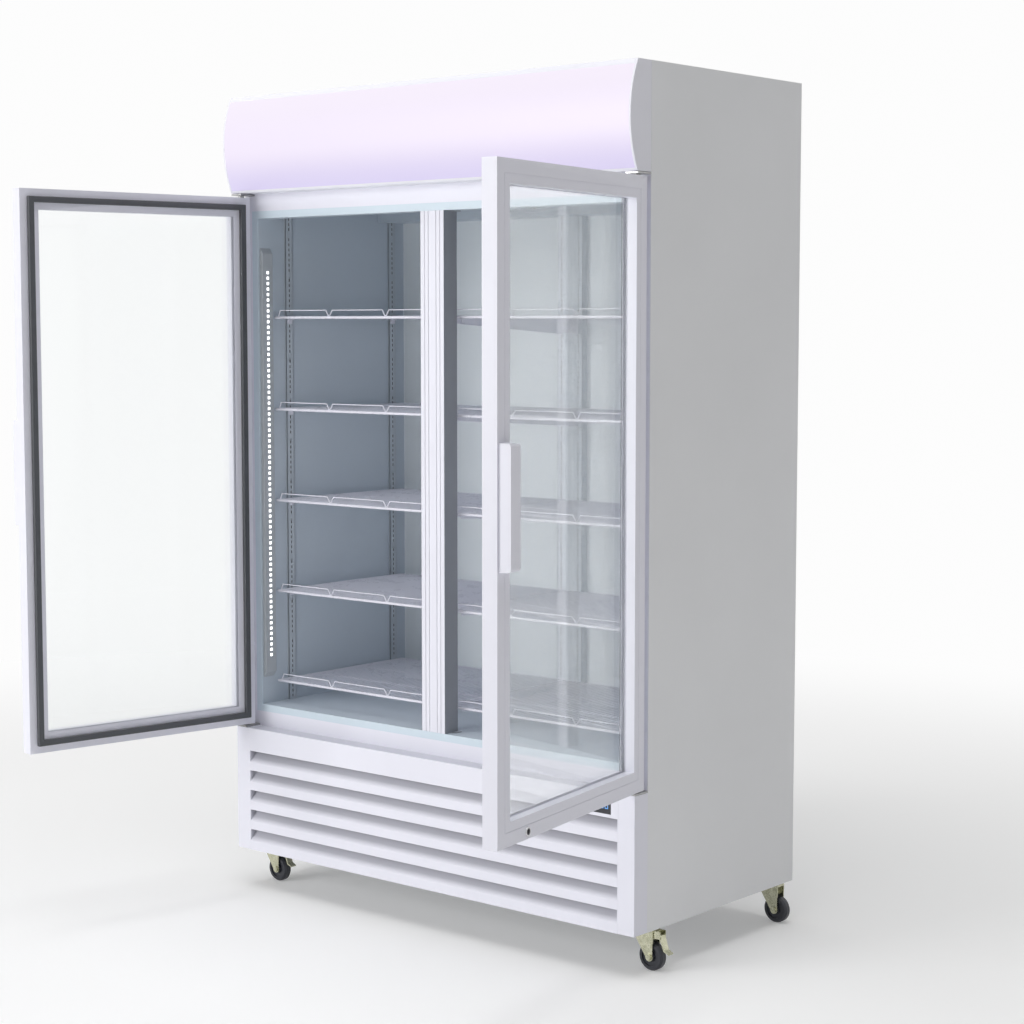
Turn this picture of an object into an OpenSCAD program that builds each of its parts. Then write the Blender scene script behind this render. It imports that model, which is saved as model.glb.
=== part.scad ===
// Two-door glass merchandiser: an upright display refrigerator on casters.
// X is the width, Y the depth (the doors face -Y) and Z is up. Millimetres.

/* [Cabinet] */
// Width over the side panels
cabinet_w = 1270; // [1000:10:1600]
// Overall height, floor to top panel
cabinet_h = 2000; // [1850:10:2300]
// Depth of the insulated box, without the doors
cabinet_d = 589; // [500:1:750]
// Thickness of the painted outer sheets and of the liner
sheet_t = 1.2; // [0.8:0.1:2]
// Side wall thickness, outer face to liner face
side_wall_t = 43; // [35:1:60]
// Back wall thickness, outer face to liner face
back_wall_t = 51.5; // [40:0.5:70]
// Insulated floor thickness, liner floor down to the machine compartment
floor_t = 55.5; // [40:0.5:80]
// Insulated ceiling thickness, top panel down to the liner ceiling
ceiling_t = 70; // [50:1:100]
// Depth of the insulated header above the door opening
header_t = 38; // [25:1:60]

/* [Door opening] */
// Thickness of the front frame sheet and breaker strip
front_t = 3; // [2:0.5:6]
// Width of the thermal breaker strip at the sides
breaker_side_w = 19; // [12:1:30]
// Height of the thermal breaker strip at the top and bottom
breaker_end_h = 18; // [12:1:30]
// Width of the centre mullion
mullion_w = 74; // [60:1:100]
// Depth of the centre mullion
mullion_d = 46; // [30:1:50]

/* [Doors] */
// Angle that both doors stand open at rest
door_open = 100; // [80:1:110]
// Thickness of a door frame
door_t = 34; // [28:1:45]
// Width of a door frame bar
door_bar_w = 48; // [40:1:60]
// Gap between the two closed doors
door_meeting_gap = 4; // [3:0.5:8]
// Set-back of a door's hinge edge from the cabinet side
door_side_inset = 2; // [1:0.5:6]
// Gap between a closed door and the canopy
door_top_gap = 10; // [8:1:20]
// Overlap of a door on the frame above the opening
door_over_top = 51; // [45:1:70]
// Overlap of a door on the frame below the opening
door_over_bottom = 48; // [40:1:52]
// Distance of the hinge axis from the door's hinge edge
pivot_inset = 14; // [12:0.5:20]
// Depth of the magnetic gasket
gasket_d = 11.5; // [8:0.5:16]
// Width of the magnetic gasket
gasket_w = 14; // [10:1:16]
// Distance of the gasket from the door's edge
gasket_inset = 18; // [14:1:20]
// Gap between a closed gasket and the cabinet front
gasket_gap = 0.5; // [0.3:0.1:1.5]
// Thickness of one glass pane
pane_t = 4; // [3:0.5:5]
// Air space between the two panes
pane_gap = 4; // [3:0.5:6]
// Depth of the glazing groove in the frame bars
glazing_groove = 8; // [6:0.5:12]
// Thickness of the lip that holds the glass on the inner side
glazing_lip = 1; // [1:0.5:2]
// Diameter of the hinge pins
pin_d = 8; // [6:0.5:12]
// Length of hinge pin inside a door
pin_reach = 14; // [10:1:20]

/* [Handles and locks] */
// Length of a door handle
handle_l = 248; // [180:1:320]
// Width of a door handle
handle_w = 37; // [34:1:45]
// Height of a handle above the door's face
handle_proud = 28; // [24:1:34]
// Height of the handle's lower end above the floor
handle_z = 965; // [900:5:1050]
// Distance of the handle from the door's free edge
handle_inset = 4; // [3:0.5:8]
// Diameter of the lock core
lock_core_d = 13; // [10:0.5:16]
// Diameter of the lock's rim
lock_rim_d = 19; // [18:0.5:24]
// Distance of the lock from the door's free edge
lock_inset = 118; // [90:1:160]
// Height of the lock above the door's lower edge
lock_rise = 15; // [12:0.5:26]

/* [Shelves] */
// Number of shelf levels
shelf_levels = 5; // [5:1:5]
// Height of the lowest shelf above the liner floor
shelf_first = 55.5; // [50:0.5:80]
// Distance between shelf levels
shelf_pitch = 232.5; // [180:0.5:240]
// Thickness of the back post that carries the shelf arms
post_t = 20.5; // [15:0.5:30]
// Gap between a shelf and the back post
shelf_back_gap = 1.5; // [1:0.5:4]
// Distance of the shelf front bar behind the cabinet front
shelf_y = 52; // [51:1:60]
// Thickness of the shelf rim bars
shelf_bar = 7; // [5:0.5:9]
// Thickness of the shelf wires
shelf_wire = 3; // [2.5:0.5:4]
// Spacing of the shelf wires
shelf_wire_pitch = 14.5; // [12:0.5:30]
// Height of the front lip wire above the rim bar
shelf_lip_h = 16; // [10:1:24]

/* [Light canopy] */
// Height of the lit canopy
canopy_h = 236; // [180:1:260]
// Projection of the canopy's upper and lower edges
canopy_d = 48; // [40:1:60]
// Extra projection of the curved panel at mid-height
canopy_bulge = 26; // [15:1:40]
// Thickness of the canopy end caps
canopy_cap_t = 6; // [4:0.5:10]

/* [Machine compartment] */
// Height of the lower fascia
fascia_h = 314.5; // [300:0.5:380]
// Projection of the lower fascia
fascia_d = 48; // [40:1:60]
// Width of the corner posts beside the grille
post_w = 45; // [40:1:60]
// Number of louvres in the grille
louvre_count = 5; // [3:1:6]
// Spacing of the louvres
louvre_pitch = 50.75; // [45:0.25:52]
// Height of one louvre slot
louvre_slot = 29; // [20:1:32]
// Height of the lowest edge band of the grille
grille_band = 24.5; // [15:0.5:30]

/* [Casters] */
// Overall height of a caster
caster_h = 100; // [90:1:120]
// Diameter of a caster wheel
wheel_d = 65; // [50:1:70]
// Width of a caster wheel
wheel_w = 22; // [18:1:28]
// Offset of the wheel axle from the swivel axis
caster_trail = 12; // [8:1:20]
// Distance of a swivel axis from the cabinet side
caster_inset = 35; // [35:1:80]
// Distance of the front swivel axes behind the cabinet front
caster_front_y = 53; // [45:1:80]
// Distance of the rear swivel axes before the back panel
caster_rear_inset = 31; // [31:1:80]

/* [Hidden] */

round_fn = 48;
fit = 0.3;           // running clearance on a radius or face
seat = 0.3;          // gap of a piece that is fitted dry
eps = 0.01;

// Levels and planes that the pieces share
half_w = cabinet_w / 2;
skin_x = half_w - sheet_t;               // inner face of the side sheets
skin_y = cabinet_d - sheet_t;            // inner face of the back sheet
skin_z = cabinet_h - sheet_t;            // inner face of the top sheet
liner_x = half_w - side_wall_t;          // liner side faces
liner_y = cabinet_d - back_wall_t;       // liner back face
base_z = caster_h;
fascia_top = base_z + fascia_h;
floor_z = fascia_top + floor_t;          // liner floor
canopy_z0 = cabinet_h - canopy_h;
door_z1 = canopy_z0 - door_top_gap;      // top of a door
opening_top = door_z1 - door_over_top;
ceiling_z = cabinet_h - ceiling_t;
header_y = front_t + header_t;           // rear face of the header's liner
breaker_x = liner_x + breaker_side_w;
breaker_z0 = floor_z - breaker_end_h;
breaker_z1 = opening_top + breaker_end_h;

// Doors, as they lie when closed
door_back_y = -gasket_gap - gasket_d;
door_front_y = door_back_y - door_t;
door_hinge_x = half_w - door_side_inset;
door_free_x = door_meeting_gap / 2;
door_w = door_hinge_x - door_free_x;
door_z0 = floor_z - door_over_bottom;
pivot_x = door_hinge_x - pivot_inset;
pivot_y = (door_front_y + door_back_y) / 2;
lock_x = door_free_x + lock_inset;
lock_z = door_z0 + lock_rise;
glass_t = 2 * pane_t + pane_gap;
glass_y1 = door_back_y - glazing_lip;
glass_y0 = glass_y1 - glass_t;
bead_line_w = 1.2;                       // groove line on the outer face
bead_line_x = 28;
bead_line_d = 1;
key_slot_w = 2.2;
key_slot_l = 8;
lock_l = 16;
lock_rim_proud = 2;
grip_slot_d = 20;                        // finger groove under the handle
grip_slot_w = 17;
grip_wall = 5;

// The whole stands with its footprint's middle at the origin, doors open
door_reach = door_w - pivot_inset;
front_most = pivot_y - door_reach * sin(door_open) - door_t / 2 * abs(cos(door_open));
frame_y = -(front_most + cabinet_d) / 2;

// Hinge brackets
bracket_w = 36;
bracket_t = 4;
collar_d = 14;

// Shelves
shelf_x0 = 6;                            // inner end of a shelf
shelf_x1 = liner_x - 6;                  // outer end of a shelf
shelf_len = shelf_x1 - shelf_x0;
shelf_d = liner_y - post_t - shelf_back_gap - shelf_y - shelf_bar / 2;
shelf_lip_inset = 12;
notch_half_w = 11;
shelf_cross_bar = 4;
pilaster_w = 25;
pilaster_t = 5;
pilaster_front_y = 104;
pilaster_rear_y = liner_y - 51.5;
slot_w = 3;
slot_h = 8;
post_half_w = 40;
slot_drop = 6;                           // first slot below a shelf bar
slot_row_pitch = 16;
arm_x = 27;
arm_t = 2;
arm_root_h = 38;
arm_tip_h = 9;
clip_w = 16;
clip_h = 12;
clip_l = 9;

// Evaporator, under the liner ceiling
evap_cover_t = 1.5;
evap_d = 100;
evap_y = liner_y - evap_d;
evap_z = opening_top + 5.5;
evap_fan_r = 90;
evap_fan_z = (evap_z + ceiling_z) / 2;
evap_fan_x = [-55, 300];
guard_wire = 3;
guard_grow = 14;                         // the guard reaches past its fan by this
evap_fan_y = evap_y + 12;
evap_motor_y = evap_y + 22;
evap_motor_l = 20;
evap_motor_d = 50;
evap_coil_end_gap = 30;
evap_coil_rear_gap = 4;
evap_coil_d = 48;
evap_coil_rise = 18;
evap_coil_drop = 20;
motor_shaft_d = 6;

// Canopy
canopy_mid_z = cabinet_h - canopy_h / 2;
canopy_r = ((canopy_h / 2) * (canopy_h / 2) + canopy_bulge * canopy_bulge) / (2 * canopy_bulge);
canopy_top_rim = 11;
canopy_low_rim = 6;
canopy_back_t = 2;
light_panel_t = 3;
lamp_d = 16;
lamp_rise = 40;                          // tubes above and below the canopy's middle

// Condenser unit
cond_x = -300;
cond_half_w = 170;
cond_y = 30;
cond_d = 45;
cond_fan_r = 105;
pan_t = 2;
cond_z0 = base_z + pan_t + 6;
cond_z1 = fascia_top - sheet_t - 28.3;
cond_fan_z = (base_z + pan_t + cond_z1) / 2 + 6.5;
cond_shroud_y = cond_y + cond_d;
cond_fan_y = cond_shroud_y + 16;
cond_motor_y = cond_shroud_y + 28;
cond_motor_l = 34;
cond_motor_d = 80;
pan_flange_h = 30;
comp_x = 210;
comp_y = 324;
comp_r = 78;
comp_h = 180;
comp_foot_h = 10;
comp_plate_h = 3;
comp_plate_w = 230;
comp_plate_d = 150;
comp_foot_d = 24;
comp_foot_inset = 20;
comp_foot_front = 15;
comp_dome = 34;
comp_box_h = 44;
comp_box_d = 24;
drain_w = 260;
drain_d = 200;
drain_h = 45;
drain_rear_gap = 137.8;                  // tray behind, to the back sheet
pipe_d = 8;
pipe_gap = 20;                           // pipe beside the condenser's end
pipe_spread = 30;                        // pipes left and right of the compressor's axis
pipe_rise = 10;
pipe_drop = 73.3;                        // suction pipe below the compartment's ceiling
pipe_rear_gap = 40;
gland_d = 18;
gland_l = 14;
gland_x = 420;
gland_rise = 60;
corner_post = 30;

// Display in the fascia
controller_w = 80;
controller_h = 40;
controller_x1 = half_w - 65;             // right edge
controller_z0 = fascia_top - 50.5;       // lower edge
controller_bezel = 4;

// Casters
plate_size = 60;
plate_t = 2.5;
race_d = 38;
race_t = 4;
kingpin_d = 9;
bridge_t = 5;
fork_leg_t = 2.5;
axle_d = 8;
axle_z = wheel_d / 2;
axle_head_d = 14;
axle_head_t = 3;
plate_hole_d = 7;
plate_hole_at = 23;                      // screw holes from the swivel axis
kingpin_head_d = 15;
kingpin_head_t = 4;
caster_x = half_w - caster_inset;
caster_rear_y = cabinet_d - caster_rear_inset;
race_z = caster_h - plate_t - race_t;
bridge_z1 = race_z - fit;
bridge_z0 = bridge_z1 - bridge_t;
fork_in = wheel_w / 2 + 1.5;
fork_out = fork_in + fork_leg_t;
fork_x0 = -26;                           // front and rear of a fork leg's upper edge
fork_x1 = 22;
brake_pin_d = 5;
brake_pin_x = 36;
brake_pin_z = bridge_z1 - 13.2;
brake_arm_w = 18;
brake_ear_t = 2;
brake_ear_gap = 0.5;
brake_knee_x = caster_trail + wheel_d / 2 + 3.5;

/* Shared helpers */

// Moves a piece from the cabinet's own planes to the shared origin
module placed() {
    translate([0, frame_y, 0]) children();
}

// A box given by its two corners
module span(lo, hi) {
    translate(lo) cube([hi[0] - lo[0], hi[1] - lo[1], hi[2] - lo[2]]);
}

// The same piece on both sides of the cabinet
module both_sides() {
    children();
    mirror([1, 0, 0]) children();
}

// A YZ outline drawn out along X between two planes
module across(x0, x1) {
    translate([x0, 0, 0]) rotate([90, 0, 90]) linear_extrude(x1 - x0) children();
}

// Moves a right-hand door piece from closed to its open rest place
module hung() {
    placed() translate([pivot_x, pivot_y, 0]) rotate([0, 0, door_open])
        translate([-pivot_x, -pivot_y, 0]) children();
}

// A right-hand door piece, or its mirror image on the left
module door_side(side) {
    if (side > 0) hung() children();
    else mirror([1, 0, 0]) hung() children();
}

// A disc or pin whose axis runs along Y
module y_pin(d, y0, y1) {
    translate([0, y0, 0]) rotate([-90, 0, 0]) cylinder(d = d, h = y1 - y0, $fn = round_fn);
}

/* Cabinet shell */

module side_panel() {
    placed() span([skin_x, 0, base_z], [half_w, cabinet_d, cabinet_h]);
}

module left_side_panel() {
    color("gainsboro") mirror([1, 0, 0]) side_panel();
}

module right_side_panel() {
    color("gainsboro") side_panel();
}

module back_panel() {
    color("silver") placed()
        span([-skin_x, skin_y, base_z], [skin_x, cabinet_d, cabinet_h]);
}

module top_panel() {
    color("gainsboro") placed() span([-skin_x, 0, skin_z], [skin_x, skin_y, cabinet_h]);
}

// Foam slabs between the outer sheets and the liner
module foam_insulation() {
    liner_out = liner_x + sheet_t;
    color("khaki") placed() {
        both_sides()
            span([liner_out, front_t, fascia_top], [skin_x, skin_y, skin_z]);
        span([-liner_out, front_t, fascia_top], [liner_out, skin_y, floor_z - sheet_t]);
        span([-liner_out, liner_y + sheet_t, floor_z - sheet_t], [liner_out, skin_y, skin_z]);
        span([-liner_out, front_t, ceiling_z + sheet_t],
            [liner_out, liner_y + sheet_t, skin_z]);
        span([-liner_out, front_t, opening_top + sheet_t],
            [liner_out, header_y, ceiling_z + sheet_t]);
    }
}

// Outline of the cold space seen from the side, grown outwards by g
module liner_outline(g) {
    polygon([
        [front_t, floor_z - g], [liner_y + g, floor_z - g], [liner_y + g, ceiling_z + g],
        [header_y + sheet_t - g, ceiling_z + g], [header_y + sheet_t - g, opening_top + g],
        [front_t, opening_top + g]]);
}

module inner_liner() {
    color("lightsteelblue") placed() difference() {
        across(-liner_x - sheet_t, liner_x + sheet_t) liner_outline(sheet_t);
        across(-liner_x, liner_x) liner_outline(0);
        span([-liner_x, 0, floor_z], [liner_x, front_t + eps, opening_top]);
    }
}

module front_frame() {
    color("white") placed() {
        both_sides() span([breaker_x, 0, fascia_top], [skin_x, front_t, skin_z]);
        span([-breaker_x, 0, fascia_top], [breaker_x, front_t, breaker_z0]);
        span([-breaker_x, 0, breaker_z1], [breaker_x, front_t, skin_z]);
    }
}

module breaker_frame() {
    color("lightblue") placed() {
        both_sides() span([liner_x, 0, breaker_z0], [breaker_x, front_t, breaker_z1]);
        span([-liner_x, 0, breaker_z0], [liner_x, front_t, floor_z]);
        span([-liner_x, 0, opening_top], [liner_x, front_t, breaker_z1]);
    }
}

// Centre bar between the doors, with a foot plate at each end
module mullion() {
    rib_w = 1.2;
    rib_d = 0.8;
    foot_t = 2;
    foot_side = 14;
    foot_y0 = mullion_d / 2;
    foot_y1 = mullion_d - 1;
    ribs = [-24, -12, 12, 24];
    color("white") placed() difference() {
        union() {
            span([-mullion_w / 2, 0, floor_z], [mullion_w / 2, mullion_d, opening_top]);
            for (z = [floor_z, opening_top - foot_t])
                span([-mullion_w / 2 - foot_side, foot_y0, z],
                    [mullion_w / 2 + foot_side, foot_y1, z + foot_t]);
        }
        for (x = ribs)
            span([x - rib_w / 2, -eps, floor_z - eps],
                [x + rib_w / 2, rib_d, opening_top + eps]);
    }
}

/* Cold space */

// Heights of the shelf levels
function shelf_z(level) = floor_z + shelf_first + (level - 1) * shelf_pitch;

// A vertical slotted strip, lying on the plane y = 0 and slotted at each shelf level
module slotted_strip(w, t, z0, z1, slot_x) {
    difference() {
        span([-w / 2, -t, z0], [w / 2, 0, z1]);
        for (level = [1:shelf_levels], x = slot_x, row = [0, 1])
            translate([x - slot_w / 2, -t - eps,
                    shelf_z(level) - shelf_bar - slot_drop - row * slot_row_pitch])
                cube([slot_w, t + 2 * eps, slot_h]);
    }
}

module back_post() {
    color("lightsteelblue") placed() translate([0, liner_y, 0])
        slotted_strip(2 * post_half_w, post_t, floor_z, evap_z, [-arm_x, arm_x]);
}

module shelf_pilasters() {
    color("rosybrown") placed() both_sides()
        for (y = [pilaster_front_y, pilaster_rear_y])
            translate([liner_x, y, 0]) rotate([0, 0, -90])
                slotted_strip(pilaster_w, pilaster_t, floor_z, evap_z, [0]);
}

// One wire shelf for the right-hand bay
module shelf_rack(z) {
    y0 = shelf_y - shelf_bar / 2;
    y1 = shelf_y + shelf_d + shelf_bar / 2;
    half = shelf_bar / 2;
    wires = floor((shelf_len - 2 * shelf_bar) / shelf_wire_pitch);
    wire_x0 = shelf_x0 + (shelf_len - wires * shelf_wire_pitch) / 2;
    // rim
    for (y = [y0, y1 - shelf_bar])
        span([shelf_x0, y, z - half], [shelf_x1, y + shelf_bar, z + half]);
    for (x = [shelf_x0, shelf_x1 - shelf_bar])
        span([x, y0, z - half], [x + shelf_bar, y1, z + half]);
    // cross bars below the wires
    for (part = [1, 2])
        translate([shelf_x0 + eps, y0 + shelf_d * part / 3, z - half])
            cube([shelf_len - 2 * eps, shelf_cross_bar, shelf_cross_bar + eps]);
    // wires from front to back
    for (i = [0:wires])
        translate([wire_x0 + i * shelf_wire_pitch - shelf_wire / 2, y0 + eps,
                z + half - shelf_wire])
            cube([shelf_wire, y1 - y0 - 2 * eps, shelf_wire]);
}

// Front lip of one shelf: a bent wire with two notches
module shelf_lip(z) {
    top = z + shelf_bar / 2 + shelf_lip_h;
    low = z;
    x0 = shelf_x0 + shelf_lip_inset;
    x1 = shelf_x1 - shelf_lip_inset;
    n1 = shelf_x0 + shelf_len / 3;
    n2 = shelf_x0 + shelf_len * 2 / 3;
    w = shelf_wire;
    top_path = [
        [x0 - w, low], [x0 + 8, top], [n1 - notch_half_w, top], [n1, low + w],
        [n1 + notch_half_w, top], [n2 - notch_half_w, top], [n2, low + w],
        [n2 + notch_half_w, top], [x1 - 8, top], [x1 + w, low]];
    low_path = [
        [x1, low], [x1 - 10, top - w], [n2 + notch_half_w + 2, top - w],
        [n2 + 2, low], [n2 - 2, low], [n2 - notch_half_w - 2, top - w],
        [n1 + notch_half_w + 2, top - w], [n1 + 2, low], [n1 - 2, low],
        [n1 - notch_half_w - 2, top - w], [x0 + 10, top - w], [x0, low]];
    translate([0, shelf_y + w / 2, 0]) rotate([90, 0, 0]) linear_extrude(w)
        polygon(concat(top_path, low_path));
}

// Both shelves of one level
module shelf_level(level) {
    color("lavender") placed() both_sides() union() {
        shelf_rack(shelf_z(level));
        shelf_lip(shelf_z(level));
    }
}

module shelf_1() { shelf_level(1); }
module shelf_2() { shelf_level(2); }
module shelf_3() { shelf_level(3); }
module shelf_4() { shelf_level(4); }
module shelf_5() { shelf_level(5); }

// A tapered arm that reaches forward from the back post under a shelf
module shelf_arm(z) {
    top = z - shelf_bar / 2;
    y_root = liner_y - post_t;
    y_tip = shelf_y + 20;
    across(arm_x - arm_t / 2, arm_x + arm_t / 2)
        polygon([[y_tip, top], [y_root, top], [y_root, top - arm_root_h],
            [y_tip, top - arm_tip_h]]);
}

// A clip on a side pilaster that carries the outer bar of a shelf
module shelf_clip(y, z) {
    top = z - shelf_bar / 2;
    x1 = liner_x - pilaster_t;
    span([x1 - clip_l, y - clip_w / 2, top - 3], [x1, y + clip_w / 2, top]);
    span([x1 - 2, y - clip_w / 2, top - clip_h], [x1, y + clip_w / 2, top - 3 + eps]);
}

module shelf_supports() {
    color("lavender") placed() both_sides() for (level = [1:shelf_levels]) {
        shelf_arm(shelf_z(level));
        for (y = [pilaster_front_y, pilaster_rear_y]) union() shelf_clip(y, shelf_z(level));
    }
}

// Light bars on the side walls, with slanted end caps
module led_strips() {
    led_w = 36;
    led_t = 10;
    led_y = 6;
    led_z0 = floor_z + 68;
    led_z1 = opening_top - 73;
    slant = 14;
    color("white") placed() both_sides()
        translate([liner_x, 0, 0]) rotate([0, 0, 90]) translate([led_y, 0, 0])
            rotate([90, 0, 90]) linear_extrude(led_w)
                polygon([[0, led_z0], [led_t, led_z0 + slant], [led_t, led_z1 - slant],
                    [0, led_z1]]);
}

// A flat fan with straight tilted blades, its axis along Y and its middle at the origin
module fan_blades(r, hub_d, depth, blades) {
    tilt = 28;
    difference() {
        union() {
            y_pin(hub_d, -depth / 2, depth / 2);
            for (i = [0:blades - 1]) rotate([0, i * 360 / blades, 0])
                translate([hub_d / 2 - 2, 0, 0]) rotate([tilt, 0, 0])
                    translate([0, -0.75, -r * 0.2]) cube([r - hub_d / 2, 1.5, r * 0.4]);
        }
        y_pin(motor_shaft_d + 2 * fit, -depth, depth);
    }
}

// A fan motor behind its fan, with the strap that holds it to a panel at y = panel_y
module fan_motor(r, panel_y, motor_y, motor_l, motor_d) {
    strap_t = 2;
    strap_h = 20;
    leg_x = r + 14;
    back_y = motor_y + motor_l;
    y_pin(motor_shaft_d, panel_y + 1, motor_y + eps);
    y_pin(motor_d, motor_y, back_y);
    span([-leg_x, back_y - eps, -strap_h / 2], [leg_x, back_y + strap_t, strap_h / 2]);
    for (s = [-1, 1]) translate([s * (leg_x - strap_t / 2), 0, 0])
        span([-strap_t / 2, panel_y, -strap_h / 2],
            [strap_t / 2, back_y + strap_t, strap_h / 2]);
}

module evaporator_cover() {
    color("lightgrey") placed() union() {
        difference() {
            span([-liner_x + seat, evap_y, evap_z],
                [liner_x - seat, evap_y + evap_cover_t, ceiling_z]);
            for (x = evap_fan_x) translate([x, 0, evap_fan_z])
                y_pin(2 * evap_fan_r + 6, evap_y - 1, evap_y + evap_cover_t + 1);
        }
        span([-liner_x + seat, evap_y, evap_z], [liner_x - seat, liner_y, evap_z + evap_cover_t]);
        for (x = evap_fan_x) translate([x, 0, evap_fan_z])
            fan_motor(evap_fan_r, evap_y + evap_cover_t - eps, evap_motor_y, evap_motor_l,
                evap_motor_d);
    }
}

// A finned block between two end plates that stand on z = foot_z
module finned_coil(x0, x1, y0, y1, z0, z1, foot_z, fins) {
    plate_t = 2;
    pitch = (x1 - x0 - plate_t) / fins;
    union() {
        for (i = [0:fins]) translate([x0 + i * pitch, y0, z0]) cube([plate_t, y1 - y0, z1 - z0]);
        for (x = [x0, x1 - plate_t]) span([x, y0, foot_z], [x + plate_t, y1, z0 + eps]);
        for (y = [y0 + (y1 - y0) * 0.3, y0 + (y1 - y0) * 0.7], row = [0.15, 0.5, 0.85])
            translate([x0 - 6, y, z0 + (z1 - z0) * row]) rotate([0, 90, 0])
                cylinder(d = 9, h = x1 - x0 + 12, $fn = round_fn);
    }
}

module evaporator_coil() {
    color("silver") placed()
        finned_coil(-liner_x + evap_coil_end_gap, liner_x - evap_coil_end_gap,
            liner_y - evap_coil_rear_gap - evap_coil_d, liner_y - evap_coil_rear_gap,
            evap_z + evap_coil_rise, ceiling_z - evap_coil_drop, evap_z + evap_cover_t, 40);
}

// Wire guards on the fan openings
module evaporator_fan_guards() {
    ring_w = 2.5;
    guard_d = 2 * (evap_fan_r + guard_grow);
    color("whitesmoke") placed() for (x = evap_fan_x) translate([x, 0, evap_fan_z]) union() {
        for (k = [1:4]) difference() {
            y_pin(guard_d * k / 4, evap_y - guard_wire, evap_y);
            y_pin(guard_d * k / 4 - 2 * ring_w, evap_y - 2 * guard_wire, evap_y + 1);
        }
        for (a = [0:45:135]) rotate([0, a, 0])
            span([1 - guard_d / 2, evap_y - guard_wire, -1], [guard_d / 2 - 1, evap_y, 1]);
    }
}

module evaporator_fan(x) {
    color("dimgray") placed() translate([x, evap_fan_y, evap_fan_z])
        fan_blades(evap_fan_r - 4, 36, 12, 5);
}

module evaporator_fan_left() { evaporator_fan(evap_fan_x[0]); }
module evaporator_fan_right() { evaporator_fan(evap_fan_x[1]); }

/* Light canopy */

// Side outline of the canopy, shrunk at the front by g
module canopy_outline(g) {
    translate([-canopy_d + g, canopy_z0]) square([canopy_d - g, canopy_h]);
    intersection() {
        translate([-canopy_d - canopy_bulge + canopy_r, canopy_mid_z])
            circle(r = canopy_r - g, $fn = 180);
        translate([-canopy_d - canopy_bulge, canopy_z0])
            square([canopy_bulge + g + 1, canopy_h]);
    }
}

module canopy_housing() {
    x1 = half_w - canopy_cap_t;
    color("white") placed() difference() {
        across(-x1, x1) canopy_outline(0);
        across(-x1 - 1, x1 + 1)
            translate([-2 * canopy_d - canopy_bulge, canopy_z0 + canopy_low_rim])
                square([2 * canopy_d + canopy_bulge - canopy_back_t,
                    canopy_h - canopy_low_rim - canopy_top_rim]);
    }
}

module canopy_end_caps() {
    color("gainsboro") placed() both_sides()
        across(half_w - canopy_cap_t, half_w) canopy_outline(0);
}

// Curved lit panel between the canopy's rims
module light_panel() {
    x1 = half_w - canopy_cap_t;
    color("lavender") placed() intersection() {
        across(-x1, x1) difference() {
            canopy_outline(0);
            canopy_outline(light_panel_t);
        }
        span([-x1, -canopy_d - canopy_bulge - 1, canopy_z0 + canopy_low_rim],
            [x1, 0, cabinet_h - canopy_top_rim]);
    }
}

// Two light tubes in holders on the canopy's back
module canopy_lamps() {
    lamp_y = -26;
    tube_x = half_w - canopy_cap_t - 40;
    color("white") placed() for (z = [canopy_mid_z - lamp_rise, canopy_mid_z + lamp_rise])
        union() {
            translate([-tube_x, lamp_y, z]) rotate([0, 90, 0])
                cylinder(d = lamp_d, h = 2 * tube_x, $fn = round_fn);
            for (s = [-1, 1])
                span([s * tube_x - 8, lamp_y - 10, z - 10], [s * tube_x + 8, -canopy_back_t, z + 10]);
        }
}

/* Machine compartment */

// Base pan with an upturned edge, and the sheet that closes the compartment above
module base_frame() {
    color("darkgray") placed() {
        difference() {
            span([-skin_x, 0, base_z], [skin_x, skin_y, base_z + pan_flange_h]);
            span([-skin_x + pan_t, pan_t, base_z + pan_t],
                [skin_x - pan_t, skin_y - pan_t, base_z + pan_flange_h + 1]);
        }
        span([-skin_x, 0, fascia_top - sheet_t], [skin_x, skin_y, fascia_top]);
        for (s = [-1, 1], y = [0, skin_y - corner_post])
            translate([s * (skin_x - corner_post / 2), y, 0])
                span([-corner_post / 2, 0, base_z + pan_flange_h],
                    [corner_post / 2, corner_post, fascia_top - sheet_t]);
    }
}

module front_posts() {
    wall = 2;
    color("white") placed() both_sides() difference() {
        span([half_w - post_w + seat, -fascia_d, base_z], [half_w, 0, fascia_top]);
        span([half_w - post_w + wall, -fascia_d + wall, base_z + wall],
            [half_w - wall, 1, fascia_top - wall]);
    }
}

// Place of the display in the fascia
module controller_window(grow, y0, y1) {
    span([controller_x1 - controller_w - grow, y0, controller_z0 - grow],
        [controller_x1 + grow, y1, controller_z0 + controller_h + grow]);
}

// Side outline of the grille: strips, and slats that rise behind each slot
module grille_outline() {
    t = 1.5;
    slat_rise = louvre_slot - 3;
    slat_run = 22;
    translate([-fascia_d, base_z]) square([t, grille_band + eps]);
    for (i = [0:louvre_count - 1]) {
        z = base_z + grille_band + i * louvre_pitch;
        lip_top = i == louvre_count - 1 ? fascia_top : z + louvre_pitch;
        translate([-fascia_d, z + louvre_slot]) square([t, lip_top - z - louvre_slot]);
        polygon([[-fascia_d, z - t], [-fascia_d + slat_run, z - t + slat_rise],
            [-fascia_d + slat_run, z + slat_rise], [-fascia_d, z]]);
    }
    translate([-fascia_d, fascia_top - t]) square([fascia_d, t]);
}

module grille_panel() {
    x1 = half_w - post_w;
    end_t = 2;
    color("white") placed() difference() {
        union() {
            across(-x1, x1) grille_outline();
            for (x = [-x1, x1 - end_t])
                span([x, -fascia_d, base_z], [x + end_t, -fascia_d + 24, fascia_top]);
        }
        controller_window(0, -fascia_d - 1, -fascia_d + 10);
    }
}

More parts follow.
